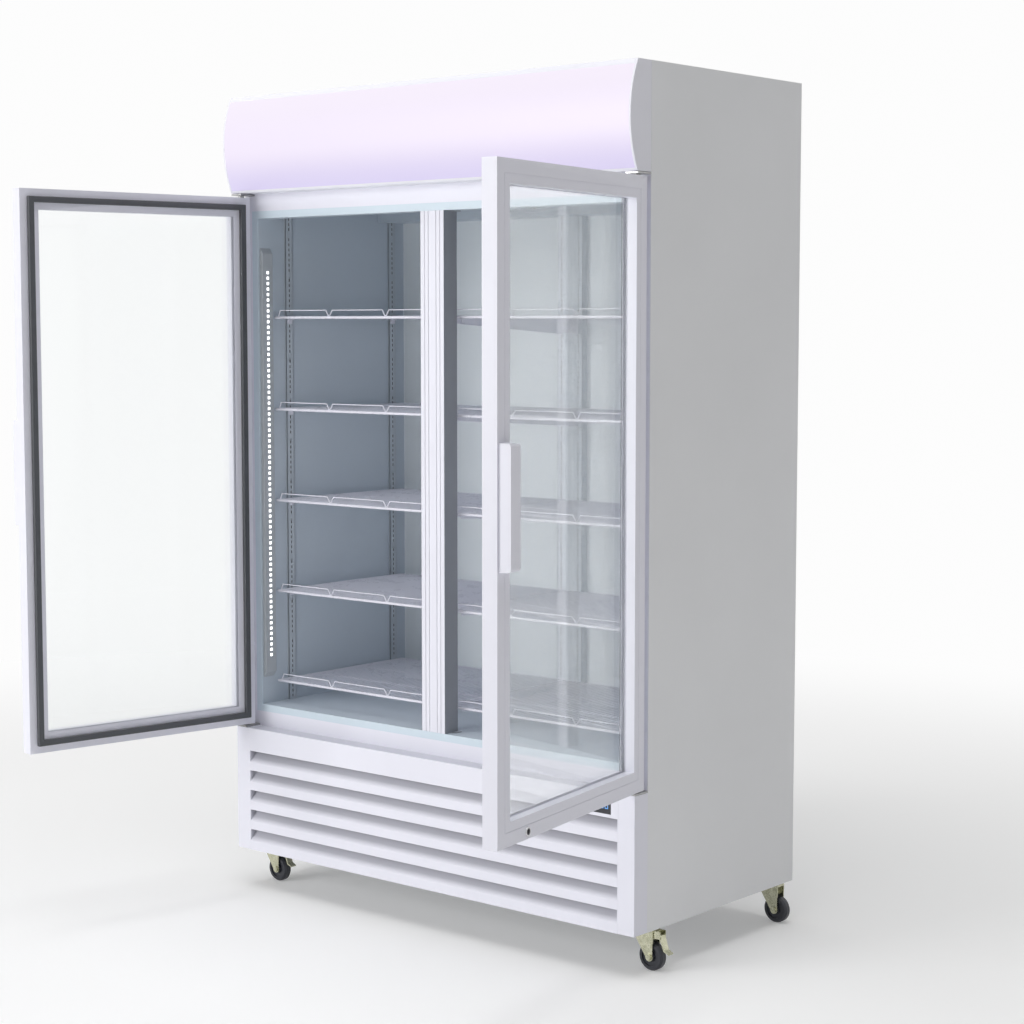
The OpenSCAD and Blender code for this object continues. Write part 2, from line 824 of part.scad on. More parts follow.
// Temperature display, set in its window in the grille
module controller() {
    color("midnightblue") placed() {
        controller_window(-seat, -fascia_d, -fascia_d + 2);
        controller_window(-controller_bezel, -fascia_d + 2, -fascia_d + 30);
        difference() {
            controller_window(controller_bezel, -fascia_d + 1.5 + seat, -fascia_d + 4);
            controller_window(-controller_bezel, -fascia_d, -fascia_d + 5);
        }
    }
}

// Hermetic compressor on a plate with four rubber feet
module compressor() {
    foot_x = comp_plate_w / 2 - comp_foot_inset;
    foot_y = comp_plate_d / 2 - comp_foot_front;
    shell_z = comp_foot_h + comp_plate_h;
    color("black") placed() translate([comp_x, comp_y, base_z + pan_t]) union() {
        for (x = [-foot_x, foot_x], y = [-foot_y, foot_y]) translate([x, y, 0])
            cylinder(d = comp_foot_d, h = comp_foot_h + eps, $fn = round_fn);
        span([-comp_plate_w / 2, -comp_plate_d / 2, comp_foot_h],
            [comp_plate_w / 2, comp_plate_d / 2, shell_z]);
        translate([0, 0, shell_z - eps]) rotate_extrude($fn = 72) {
            translate([0, comp_dome]) square([comp_r, comp_h - 2 * comp_dome]);
            square([comp_r - comp_dome, comp_h]);
            for (z = [comp_dome, comp_h - comp_dome])
                translate([comp_r - comp_dome, z]) circle(r = comp_dome, $fn = 72);
        }
        translate([comp_r - 3, 0, comp_h / 2])
            span([0, -comp_box_h / 2, -comp_box_h / 2], [comp_box_d, comp_box_h / 2, comp_box_h / 2]);
    }
}

module condenser_coil() {
    color("silver") placed()
        finned_coil(cond_x - cond_half_w, cond_x + cond_half_w, cond_y, cond_y + cond_d,
            cond_z0, cond_z1, base_z + pan_t, 24);
}

module condenser_shroud() {
    t = 2;
    color("dimgray") placed() union() {
        difference() {
            span([cond_x - cond_half_w, cond_shroud_y, base_z + pan_t],
                [cond_x + cond_half_w, cond_shroud_y + t, cond_z1]);
            translate([cond_x, 0, cond_fan_z])
                y_pin(2 * cond_fan_r + 8, cond_shroud_y - 1, cond_shroud_y + t + 1);
        }
        translate([cond_x, 0, cond_fan_z])
            fan_motor(cond_fan_r, cond_shroud_y + t - eps, cond_motor_y, cond_motor_l, cond_motor_d);
    }
}

module condenser_fan() {
    color("black") placed() translate([cond_x, cond_fan_y, cond_fan_z])
        fan_blades(cond_fan_r - 4, 44, 14, 5);
}

// Condensate tray behind the condenser
module drain_pan() {
    wall = 2;
    x0 = cond_x - drain_w / 2;
    x1 = cond_x + drain_w / 2;
    y1 = skin_y - drain_rear_gap;
    y0 = y1 - drain_d;
    z0 = base_z + pan_t;
    color("dimgray") placed() difference() {
        span([x0, y0, z0], [x1, y1, z0 + drain_h]);
        span([x0 + wall, y0 + wall, z0 + wall], [x1 - wall, y1 - wall, z0 + drain_h + 1]);
    }
}

// A straight run of pipe along X, Y or Z, with a ball at its start for the bend
module pipe_run(start, turn, l) {
    translate(start) {
        rotate(turn) cylinder(d = pipe_d, h = l, $fn = round_fn);
        sphere(d = pipe_d, $fn = round_fn);
    }
}

// Copper pipes from the compressor to the condenser and to the back wall
module refrigerant_pipes() {
    comp_top = base_z + pan_t + comp_foot_h + comp_plate_h + comp_h;
    suction_z = fascia_top - sheet_t - pipe_drop;
    suction_x = comp_x + pipe_spread;
    suction_y = skin_y - pipe_rear_gap;
    discharge_z = suction_z + pipe_rise;
    discharge_x = comp_x - pipe_spread;
    coil_x = cond_x + cond_half_w + pipe_gap;
    coil_y = cond_y + cond_d * 0.7;
    color("peru") placed() union() {
        // discharge pipe to the condenser's end
        translate([discharge_x, comp_y, comp_top])
            cylinder(d = pipe_d, h = discharge_z - comp_top, $fn = round_fn);
        pipe_run([discharge_x, comp_y, discharge_z], [0, -90, 0], discharge_x - coil_x);
        pipe_run([coil_x, comp_y, discharge_z], [90, 0, 0], comp_y - coil_y);
        pipe_run([coil_x, coil_y, discharge_z], [0, -90, 0], pipe_d);
    }
    color("peru") placed() union() {
        // suction pipe up to the evaporator
        translate([suction_x, comp_y, comp_top])
            cylinder(d = pipe_d, h = suction_z - comp_top, $fn = round_fn);
        pipe_run([suction_x, comp_y, suction_z], [-90, 0, 0], suction_y - comp_y);
        pipe_run([suction_x, suction_y, suction_z], [0, 0, 0], pipe_drop);
    }
}

// Bush in the back panel where the mains lead leaves
module cord_gland() {
    color("black") placed() translate([gland_x, 0, base_z + gland_rise])
        y_pin(gland_d, skin_y - gland_l, skin_y);
}

/* Hinges and doors */

// A bracket on the cabinet front, with the pin that a door turns on
module hinge_bracket(z_plate, z_pin0, z_pin1) {
    x0 = pivot_x - bracket_w / 2;
    span([x0, pivot_y - bracket_w / 2, z_plate], [x0 + bracket_w - 2, 0, z_plate + bracket_t]);
    translate([pivot_x, pivot_y, z_pin0])
        cylinder(d = pin_d, h = z_pin1 - z_pin0, $fn = round_fn);
}

module hinge_brackets() {
    low_z = fascia_top;
    high_z = canopy_z0 - bracket_t - 1;
    color("silver") placed() both_sides() {
        union() {
            hinge_bracket(low_z, low_z + eps, door_z0 + pin_reach);
            translate([pivot_x, pivot_y, low_z + bracket_t - eps])
                cylinder(d = collar_d, h = door_z0 - seat - low_z - bracket_t, $fn = round_fn);
        }
        union() {
            hinge_bracket(high_z, door_z1 - pin_reach, high_z + bracket_t - eps);
            translate([pivot_x, pivot_y, door_z1 + seat])
                cylinder(d = collar_d, h = high_z - door_z1 - seat + eps, $fn = round_fn);
        }
    }
}

// Bores for the hinge pins, at both ends of the hinge stile
module hinge_bores() {
    for (z = [door_z0 - eps, door_z1 - pin_reach - 2])
        translate([pivot_x, pivot_y, z])
            cylinder(d = pin_d + 2 * fit, h = pin_reach + 2 + eps, $fn = round_fn);
}

// Closed right-hand door frame: two stiles and two rails round the glass
module door_frame() {
    x_in0 = door_free_x + door_bar_w;
    x_in1 = door_hinge_x - door_bar_w;
    z_in0 = door_z0 + door_bar_w;
    z_in1 = door_z1 - door_bar_w;
    g = glazing_groove;
    // outer face lines that run round the frame
    module line_cut() {
        for (x = [door_free_x + bead_line_x, door_hinge_x - bead_line_x - bead_line_w])
            span([x, door_front_y - 1, door_z0 + bead_line_x],
                [x + bead_line_w, door_front_y + bead_line_d, door_z1 - bead_line_x]);
        for (z = [door_z0 + bead_line_x, door_z1 - bead_line_x - bead_line_w])
            span([door_free_x + bead_line_x, door_front_y - 1, z],
                [door_hinge_x - bead_line_x, door_front_y + bead_line_d, z + bead_line_w]);
    }
    module glass_cut() {
        span([x_in0 - g, glass_y0, z_in0 - g], [x_in1 + g, glass_y1, z_in1 + g]);
    }
    // stiles
    difference() {
        span([door_free_x, door_front_y, door_z0], [x_in0, door_back_y, door_z1]);
        line_cut();
        glass_cut();
    }
    difference() {
        span([x_in1, door_front_y, door_z0], [door_hinge_x, door_back_y, door_z1]);
        line_cut();
        glass_cut();
        hinge_bores();
    }
    // rails
    difference() {
        span([x_in0, door_front_y, door_z0], [x_in1, door_back_y, z_in0]);
        line_cut();
        glass_cut();
        translate([lock_x, 0, lock_z])
            y_pin(lock_core_d + 2 * fit, door_front_y - 1, door_front_y + lock_l);
    }
    difference() {
        span([x_in0, door_front_y, z_in1], [x_in1, door_back_y, door_z1]);
        line_cut();
        glass_cut();
    }
    // lock rim
    translate([lock_x, 0, lock_z]) difference() {
        y_pin(lock_rim_d, door_front_y - lock_rim_proud, door_front_y);
        y_pin(lock_core_d + 2 * fit, door_front_y - lock_rim_proud - 1, door_front_y + 1);
    }
}

// Two panes and the spacer between their edges
module door_glass() {
    gap = seat;
    x0 = door_free_x + door_bar_w - glazing_groove + gap;
    x1 = door_hinge_x - door_bar_w + glazing_groove - gap;
    z0 = door_z0 + door_bar_w - glazing_groove + gap;
    z1 = door_z1 - door_bar_w + glazing_groove - gap;
    spacer_w = glazing_groove - 1;
    for (y = [glass_y0, glass_y1 - pane_t]) span([x0, y, z0], [x1, y + pane_t, z1]);
    difference() {
        span([x0, glass_y0 + pane_t, z0], [x1, glass_y1 - pane_t, z1]);
        span([x0 + spacer_w, glass_y0, z0 + spacer_w], [x1 - spacer_w, glass_y1, z1 - spacer_w]);
    }
}

module door_gasket() {
    a = gasket_inset;
    b = gasket_inset + gasket_w;
    difference() {
        span([door_free_x + a, door_back_y, door_z0 + a],
            [door_hinge_x - a, door_back_y + gasket_d, door_z1 - a]);
        span([door_free_x + b, door_back_y - 1, door_z0 + b],
            [door_hinge_x - b, door_back_y + gasket_d + 1, door_z1 - b]);
    }
}

// Bar handle with a finger groove on the hinge side
module door_handle() {
    x0 = door_free_x + handle_inset;
    r = 8;
    y0 = door_front_y - handle_proud;
    difference() {
        union() {
            span([x0, y0, handle_z + r], [x0 + handle_w, door_front_y, handle_z + handle_l - r]);
            span([x0, y0 + r, handle_z], [x0 + handle_w, door_front_y, handle_z + handle_l]);
            for (z = [handle_z + r, handle_z + handle_l - r])
                translate([x0, y0 + r, z]) rotate([0, 90, 0])
                    cylinder(r = r, h = handle_w, $fn = round_fn);
        }
        span([x0 + handle_w - grip_slot_d, y0 + grip_wall, handle_z - 1],
            [x0 + handle_w + 1, y0 + grip_wall + grip_slot_w, handle_z + handle_l + 1]);
    }
}

// Lock core with its key slot
module door_lock() {
    translate([lock_x, 0, lock_z]) difference() {
        y_pin(lock_core_d, door_front_y - lock_rim_proud, door_front_y + lock_l - 2);
        span([-key_slot_w / 2, door_front_y - lock_rim_proud - 1, -key_slot_l / 2],
            [key_slot_w / 2, door_front_y + 4, key_slot_l / 2]);
    }
}

module left_door_frame() { color("white") door_side(-1) door_frame(); }
module left_door_glass() { color("lightcyan", 0.4) door_side(-1) door_glass(); }
module left_door_gasket() { color("dimgray") door_side(-1) door_gasket(); }
module left_door_handle() { color("white") door_side(-1) door_handle(); }
module left_door_lock() { color("black") door_side(-1) door_lock(); }
module right_door_frame() { color("white") door_side(1) door_frame(); }
module right_door_glass() { color("lightcyan", 0.4) door_side(1) door_glass(); }
module right_door_gasket() { color("dimgray") door_side(1) door_gasket(); }
module right_door_handle() { color("white") door_side(1) door_handle(); }
module right_door_lock() { color("black") door_side(1) door_lock(); }

/* Casters */

// Moves a caster piece to one corner
module at_caster(side, y) {
    placed() translate([side * caster_x, y, 0]) children();
}

// Top plate, ball race and kingpin
module caster_plate() {
    difference() {
        span([-plate_size / 2, -plate_size / 2, caster_h - plate_t],
            [plate_size / 2, plate_size / 2, caster_h]);
        for (x = [-1, 1], y = [-1, 1])
            translate([x * plate_hole_at, y * plate_hole_at, caster_h - plate_t - 1])
                cylinder(d = plate_hole_d, h = plate_t + 2, $fn = round_fn);
    }
    translate([0, 0, race_z]) cylinder(d = race_d, h = race_t + eps, $fn = round_fn);
    translate([0, 0, bridge_z0 - kingpin_head_t]) {
        cylinder(d = kingpin_d, h = bridge_t + kingpin_head_t + 2, $fn = round_fn);
        cylinder(d = kingpin_head_d, h = kingpin_head_t - fit, $fn = round_fn);
    }
}

module caster_plates() {
    color("silver") for (side = [-1, 1], y = [caster_front_y, caster_rear_y])
        at_caster(side, y) union() caster_plate();
}

// Swivel fork: a bridge, two legs, the axle, and ears for a brake lever if it has one
module caster_fork(braked) {
    eye_r = 10;
    ear_y = brake_arm_w / 2 + brake_ear_gap;
    ear_z = brake_pin_z - 4;
    difference() {
        union() {
            translate([0, 0, bridge_z0]) cylinder(d = race_d, h = bridge_t, $fn = round_fn);
            span([fork_x0, -fork_out, bridge_z0], [fork_x1, fork_out, bridge_z1]);
            for (y = [-fork_out, fork_in]) translate([0, y + fork_leg_t, 0]) rotate([90, 0, 0])
                linear_extrude(fork_leg_t) {
                    polygon([[fork_x0, bridge_z1 - 1], [fork_x1, bridge_z1 - 1],
                        [fork_x1, bridge_z0 - 8], [caster_trail + eye_r - 1, axle_z],
                        [caster_trail - eye_r + 1, axle_z - 2], [fork_x0, bridge_z0 - 14]]);
                    translate([caster_trail, axle_z]) circle(r = eye_r, $fn = round_fn);
                }
            if (braked) for (y = [-ear_y - brake_ear_t, ear_y])
                span([fork_x1 - 1, y, ear_z], [brake_pin_x + 4, y + brake_ear_t, bridge_z1]);
            if (braked) span([fork_x1 - 1, -ear_y - brake_ear_t, bridge_z0 + 2],
                    [brake_pin_x - 6, ear_y + brake_ear_t, bridge_z1]);
        }
        translate([0, 0, bridge_z0 - 1])
            cylinder(d = kingpin_d + 2 * fit, h = bridge_t + 2, $fn = round_fn);
    }
    // axle with its heads
    translate([caster_trail, 0, axle_z]) {
        y_pin(axle_d, -fork_out - 2, fork_out + 2);
        y_pin(axle_head_d, -fork_out - axle_head_t, -fork_out + eps);
        y_pin(axle_head_d, fork_out - eps, fork_out + axle_head_t);
    }
    if (braked) translate([brake_pin_x, 0, brake_pin_z])
        y_pin(brake_pin_d, -ear_y - brake_ear_t, ear_y + brake_ear_t);
}

module caster_fork_front_left() {
    color("silver") at_caster(-1, caster_front_y) union() caster_fork(true);
}
module caster_fork_front_right() {
    color("silver") at_caster(1, caster_front_y) union() caster_fork(true);
}
module caster_fork_rear_left() {
    color("silver") at_caster(-1, caster_rear_y) union() caster_fork(false);
}
module caster_fork_rear_right() {
    color("silver") at_caster(1, caster_rear_y) union() caster_fork(false);
}

// Rubber-tyred wheel with a hub that stands out from a recessed face
module caster_wheel() {
    half = wheel_w / 2;
    hub_r = 12;
    hub_proud = 1;
    recess_r = 22;
    recess_d = 3;
    tread_r = wheel_d / 2;
    side_r = tread_r - 4;
    side_d = 5;
    bore_r = axle_d / 2 + fit;
    translate([caster_trail, 0, axle_z]) rotate([-90, 0, 0]) rotate_extrude($fn = 96)
        polygon([[bore_r, -half - hub_proud], [hub_r, -half - hub_proud],
            [hub_r, -half + recess_d], [recess_r, -half + recess_d], [recess_r, -half],
            [side_r, -half], [tread_r, -half + side_d],
            [tread_r, half - side_d], [side_r, half],
            [recess_r, half], [recess_r, half - recess_d], [hub_r, half - recess_d],
            [hub_r, half + hub_proud], [bore_r, half + hub_proud]]);
}

module caster_wheel_front_left() { color("black") at_caster(-1, caster_front_y) caster_wheel(); }
module caster_wheel_front_right() { color("black") at_caster(1, caster_front_y) caster_wheel(); }
module caster_wheel_rear_left() { color("black") at_caster(-1, caster_rear_y) caster_wheel(); }
module caster_wheel_rear_right() { color("black") at_caster(1, caster_rear_y) caster_wheel(); }

// Foot lever of a braked caster, bent round the wheel
module brake_lever() {
    pedal_l = 14;
    pedal_z = 43.5;
    boss_d = 9;
    difference() {
        union() {
            translate([0, brake_arm_w / 2, 0]) rotate([90, 0, 0]) linear_extrude(brake_arm_w)
                polygon([[brake_pin_x + 1, brake_pin_z + 4], [brake_pin_x + 4.5, brake_pin_z + 1],
                    [brake_knee_x + 2, pedal_z + 8.5], [brake_knee_x + pedal_l, pedal_z + 2.5],
                    [brake_knee_x + pedal_l, pedal_z], [brake_knee_x, pedal_z + 6],
                    [brake_pin_x + 1, brake_pin_z - 3]]);
            translate([brake_pin_x, 0, brake_pin_z])
                y_pin(boss_d, -brake_arm_w / 2, brake_arm_w / 2);
        }
        translate([brake_pin_x, 0, brake_pin_z])
            y_pin(brake_pin_d + 2 * fit, -brake_arm_w, brake_arm_w);
    }
}

module brake_lever_left() { color("silver") at_caster(-1, caster_front_y) brake_lever(); }
module brake_lever_right() { color("silver") at_caster(1, caster_front_y) brake_lever(); }

left_side_panel();
right_side_panel();
back_panel();
top_panel();
foam_insulation();
inner_liner();
front_frame();
breaker_frame();
mullion();
back_post();
shelf_pilasters();
shelf_1();
shelf_2();
shelf_3();
shelf_4();
shelf_5();
shelf_supports();
led_strips();
evaporator_cover();
evaporator_coil();
evaporator_fan_guards();
evaporator_fan_left();
evaporator_fan_right();
canopy_housing();
canopy_end_caps();
light_panel();
canopy_lamps();
base_frame();
front_posts();
grille_panel();
controller();
compressor();
condenser_coil();
condenser_shroud();
condenser_fan();
drain_pan();
refrigerant_pipes();
hinge_brackets();
caster_plates();
caster_fork_front_left();
caster_fork_front_right();
caster_fork_rear_left();
caster_fork_rear_right();
caster_wheel_front_left();
caster_wheel_front_right();
caster_wheel_rear_left();
caster_wheel_rear_right();
brake_lever_left();
brake_lever_right();
left_door_frame();
left_door_glass();
left_door_gasket();
left_door_handle();
left_door_lock();
right_door_frame();
right_door_glass();
right_door_gasket();
right_door_handle();
right_door_lock();
cord_gland();
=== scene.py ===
# Looks of the two-door glass merchandiser: materials, wire racks, slotted strips, fittings and light.
import math

import bpy
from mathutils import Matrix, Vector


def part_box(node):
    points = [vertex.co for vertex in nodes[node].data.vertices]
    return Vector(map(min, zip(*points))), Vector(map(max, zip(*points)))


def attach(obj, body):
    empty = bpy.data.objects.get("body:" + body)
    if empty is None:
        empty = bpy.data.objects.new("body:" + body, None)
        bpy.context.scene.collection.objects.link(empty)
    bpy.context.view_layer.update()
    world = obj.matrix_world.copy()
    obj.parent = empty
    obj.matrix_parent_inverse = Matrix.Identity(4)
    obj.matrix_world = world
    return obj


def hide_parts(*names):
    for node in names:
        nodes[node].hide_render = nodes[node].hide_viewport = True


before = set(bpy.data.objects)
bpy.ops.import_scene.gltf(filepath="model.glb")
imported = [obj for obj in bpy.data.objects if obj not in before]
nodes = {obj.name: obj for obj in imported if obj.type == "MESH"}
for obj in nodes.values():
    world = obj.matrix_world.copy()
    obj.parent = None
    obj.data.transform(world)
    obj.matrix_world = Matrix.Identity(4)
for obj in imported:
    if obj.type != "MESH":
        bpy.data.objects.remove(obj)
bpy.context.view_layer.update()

MM = 0.001


# ---------------------------------------------------------------- places taken from the frame

def low(node, axis):
    """Lowest coordinate of a CAD node along axis 0, 1 or 2."""
    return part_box(node)[0][axis]


def high(node, axis):
    """Highest coordinate of a CAD node along axis 0, 1 or 2."""
    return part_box(node)[1][axis]


front_y = low("front_frame", 1)
half_w = high("right_side_panel", 0)
top_z = high("top_panel", 2)
base_z = low("base_frame", 2)
fascia_y = low("front_posts", 1)
SHELVES = ["shelf_%d" % level for level in range(1, 6)]
SIDES = {"left": -1, "right": 1}


# ---------------------------------------------------------------- camera

VIEW_PLACE = (3.3808, front_y - 3.7151, 1.4405)
VIEW_PITCH = -5.049
VIEW_TURN = 40.168
VIEW_LENS = 75

camera_data = bpy.data.cameras.new("camera")
camera_data.lens = VIEW_LENS
camera_data.sensor_width = 36
camera = bpy.data.objects.new("camera", camera_data)
camera.location = VIEW_PLACE
camera.rotation_euler = (math.radians(90 + VIEW_PITCH), 0, math.radians(VIEW_TURN))
bpy.context.scene.collection.objects.link(camera)
bpy.context.scene.camera = camera


# ---------------------------------------------------------------- shared effects

def new_group(name, inputs, outputs):
    """A node group with named sockets: inputs maps a name to (kind, default), outputs a name to a kind."""
    group = bpy.data.node_groups.new(name, "ShaderNodeTree")
    for label, (kind, value) in inputs.items():
        socket = group.interface.new_socket(label, in_out="INPUT", socket_type="NodeSocket" + kind)
        socket.default_value = value
    for label, kind in outputs.items():
        group.interface.new_socket(label, in_out="OUTPUT", socket_type="NodeSocket" + kind)
    start = group.nodes.new("NodeGroupInput")
    end = group.nodes.new("NodeGroupOutput")
    return group, start, end


def node(tree, kind, **values):
    """A new node with its properties, and the defaults of its inputs by index or name, set."""
    made = tree.nodes.new("ShaderNode" + kind)
    for key, value in values.pop("inputs", {}).items():
        made.inputs[key].default_value = value
    for key, value in values.items():
        setattr(made, key, value)
    return made


def wire(tree, *pairs):
    """Links each (output, input) pair."""
    for output, target in pairs:
        tree.links.new(output, target)


def build_sprayed_coat():
    """Sprayed or moulded coat: faint cloudy tone, fine orange peel and uneven gloss."""
    group, start, end = new_group(
        "sprayed_coat",
        {"Colour": ("Color", (0.8, 0.8, 0.8, 1)), "Tone": ("Float", 0.03),
         "Peel Scale": ("Float", 900.0), "Peel Depth": ("Float", 0.05),
         "Roughness": ("Float", 0.35), "Gloss Change": ("Float", 0.08)},
        {"Colour": "Color", "Roughness": "Float", "Normal": "Vector"})
    place = node(group, "TexCoord")
    cloud = node(group, "TexNoise", inputs={"Scale": 3.5, "Detail": 4.0})
    tone = node(group, "MapRange", inputs={"From Min": 0.3, "From Max": 0.7, "To Max": 0.0})
    less = node(group, "Math", operation="MULTIPLY", inputs={1: -1.0})
    shade = node(group, "HueSaturation")
    value = node(group, "Math", operation="ADD", inputs={1: 1.0})
    smear = node(group, "TexNoise", inputs={"Scale": 22.0, "Detail": 5.0, "Roughness": 0.6})
    centred = node(group, "Math", operation="SUBTRACT", inputs={1: 0.5})
    spread = node(group, "Math", operation="MULTIPLY_ADD")
    peel = node(group, "TexNoise", inputs={"Detail": 1.0})
    bump = node(group, "Bump", inputs={"Distance": 0.0003})
    wire(group,
         (place.outputs["Object"], cloud.inputs["Vector"]),
         (place.outputs["Object"], smear.inputs["Vector"]),
         (place.outputs["Object"], peel.inputs["Vector"]),
         (start.outputs["Peel Scale"], peel.inputs["Scale"]),
         (start.outputs["Tone"], less.inputs[0]),
         (less.outputs[0], tone.inputs["To Min"]),
         (cloud.outputs["Fac"], tone.inputs["Value"]),
         (tone.outputs[0], value.inputs[0]),
         (value.outputs[0], shade.inputs["Value"]),
         (start.outputs["Colour"], shade.inputs["Color"]),
         (shade.outputs[0], end.inputs["Colour"]),
         (smear.outputs["Fac"], centred.inputs[0]),
         (centred.outputs[0], spread.inputs[0]),
         (start.outputs["Gloss Change"], spread.inputs[1]),
         (start.outputs["Roughness"], spread.inputs[2]),
         (spread.outputs[0], end.inputs["Roughness"]),
         (peel.outputs["Fac"], bump.inputs["Height"]),
         (start.outputs["Peel Depth"], bump.inputs["Strength"]),
         (bump.outputs[0], end.inputs["Normal"]))
    return group


def build_worn_metal():
    """Plated or bare metal: blotches between two colours, fine scratches along one axis."""
    group, start, end = new_group(
        "worn_metal",
        {"Colour": ("Color", (0.6, 0.6, 0.6, 1)), "Second Colour": ("Color", (0.5, 0.5, 0.5, 1)),
         "Blotch Scale": ("Float", 60.0), "Scratch Stretch": ("Vector", (400.0, 400.0, 12.0)),
         "Scratch Depth": ("Float", 0.15), "Roughness": ("Float", 0.35)},
        {"Colour": "Color", "Roughness": "Float", "Normal": "Vector"})
    place = node(group, "TexCoord")
    blotch = node(group, "TexNoise", inputs={"Detail": 5.0, "Roughness": 0.65})
    steps = node(group, "MapRange", inputs={"From Min": 0.35, "From Max": 0.65})
    blend = node(group, "Mix", data_type="RGBA")
    stretch = node(group, "Mapping")
    scratch = node(group, "TexNoise", inputs={"Scale": 1.0, "Detail": 3.0})
    rough = node(group, "MapRange", inputs={"From Min": 0.3, "From Max": 0.7})
    lowest = node(group, "Math", operation="MULTIPLY", inputs={1: 0.75})
    highest = node(group, "Math", operation="MULTIPLY", inputs={1: 1.35})
    bump = node(group, "Bump", inputs={"Distance": 0.0002})
    wire(group,
         (place.outputs["Object"], blotch.inputs["Vector"]),
         (place.outputs["Object"], stretch.inputs["Vector"]),
         (start.outputs["Scratch Stretch"], stretch.inputs["Scale"]),
         (stretch.outputs[0], scratch.inputs["Vector"]),
         (start.outputs["Blotch Scale"], blotch.inputs["Scale"]),
         (blotch.outputs["Fac"], steps.inputs["Value"]),
         (steps.outputs[0], blend.inputs["Factor"]),
         (start.outputs["Colour"], blend.inputs["A"]),
         (start.outputs["Second Colour"], blend.inputs["B"]),
         (blend.outputs["Result"], end.inputs["Colour"]),
         (start.outputs["Roughness"], lowest.inputs[0]),
         (start.outputs["Roughness"], highest.inputs[0]),
         (scratch.outputs["Fac"], rough.inputs["Value"]),
         (lowest.outputs[0], rough.inputs["To Min"]),
         (highest.outputs[0], rough.inputs["To Max"]),
         (rough.outputs[0], end.inputs["Roughness"]),
         (scratch.outputs["Fac"], bump.inputs["Height"]),
         (start.outputs["Scratch Depth"], bump.inputs["Strength"]),
         (bump.outputs[0], end.inputs["Normal"]))
    return group


def build_height_fade():
    """Blends three colours up the piece, from a low height through a middle one to a high one."""
    group, start, end = new_group(
        "height_fade",
        {"Low Colour": ("Color", (1, 1, 1, 1)), "Middle Colour": ("Color", (1, 1, 1, 1)),
         "High Colour": ("Color", (1, 1, 1, 1)), "Low": ("Float", 0.0),
         "Middle": ("Float", 0.5), "High": ("Float", 1.0)},
        {"Colour": "Color"})
    place = node(group, "TexCoord")
    split = node(group, "SeparateXYZ")
    rise = node(group, "MapRange", interpolation_type="SMOOTHSTEP")
    climb = node(group, "MapRange", interpolation_type="SMOOTHSTEP")
    first = node(group, "Mix", data_type="RGBA")
    second = node(group, "Mix", data_type="RGBA")
    wire(group,
         (place.outputs["Object"], split.inputs[0]),
         (split.outputs["Z"], rise.inputs["Value"]),
         (start.outputs["Low"], rise.inputs["From Min"]),
         (start.outputs["Middle"], rise.inputs["From Max"]),
         (split.outputs["Z"], climb.inputs["Value"]),
         (start.outputs["Middle"], climb.inputs["From Min"]),
         (start.outputs["High"], climb.inputs["From Max"]),
         (rise.outputs[0], first.inputs["Factor"]),
         (start.outputs["Low Colour"], first.inputs["A"]),
         (start.outputs["Middle Colour"], first.inputs["B"]),
         (climb.outputs[0], second.inputs["Factor"]),
         (first.outputs["Result"], second.inputs["A"]),
         (start.outputs["High Colour"], second.inputs["B"]),
         (second.outputs["Result"], end.inputs["Colour"]))
    return group


def build_place_blend():
    """Blends two colours along one direction of the piece, the same on both sides of its middle."""
    group, start, end = new_group(
        "place_blend",
        {"Colour": ("Color", (1, 1, 1, 1)), "Second Colour": ("Color", (0.5, 0.5, 0.5, 1)),
         "Direction": ("Vector", (1, 0, 0)), "Origin": ("Vector", (0, 0, 0)),
         "Start": ("Float", 0.0), "End": ("Float", 1.0)},
        {"Colour": "Color", "Share": "Float"})
    place = node(group, "TexCoord")
    shifted = node(group, "VectorMath", operation="SUBTRACT")
    along = node(group, "VectorMath", operation="DOT_PRODUCT")
    either_side = node(group, "Math", operation="ABSOLUTE")
    share = node(group, "MapRange")
    blend = node(group, "Mix", data_type="RGBA")
    wire(group,
         (place.outputs["Object"], shifted.inputs[0]),
         (start.outputs["Origin"], shifted.inputs[1]),
         (shifted.outputs["Vector"], along.inputs[0]),
         (start.outputs["Direction"], along.inputs[1]),
         (along.outputs["Value"], either_side.inputs[0]),
         (either_side.outputs[0], share.inputs["Value"]),
         (start.outputs["Start"], share.inputs["From Min"]),
         (start.outputs["End"], share.inputs["From Max"]),
         (share.outputs[0], blend.inputs["Factor"]),
         (start.outputs["Colour"], blend.inputs["A"]),
         (start.outputs["Second Colour"], blend.inputs["B"]),
         (blend.outputs["Result"], end.inputs["Colour"]),
         (share.outputs[0], end.inputs["Share"]))
    return group


SPRAYED_COAT = build_sprayed_coat()
PLACE_BLEND = build_place_blend()
WORN_METAL = build_worn_metal()
HEIGHT_FADE = build_height_fade()


# ---------------------------------------------------------------- materials

def linear(red, green, blue):
    """A display colour of 0 to 255 as the linear colour that a shader takes."""
    def one(level):
        level = level / 255
        return level / 12.92 if level <= 0.04045 else ((level + 0.055) / 1.055) ** 2.4
    return (one(red), one(green), one(blue), 1.0)


def new_material(name, **plain):
    """A material and its Principled node, with plain values set on the shader's own sockets."""
    material = bpy.data.materials.new(name)
    material.use_nodes = True
    shader = material.node_tree.nodes["Principled BSDF"]
    for label, value in plain.items():
        shader.inputs[label.replace("_", " ")].default_value = value
    return material, shader


def place_effect(material, group, values):
    """One use of a shared effect in a material, with its own values."""
    use = material.node_tree.nodes.new("ShaderNodeGroup")
    use.node_tree = group
    for label, value in values.items():
        use.inputs[label].default_value = value
    return use


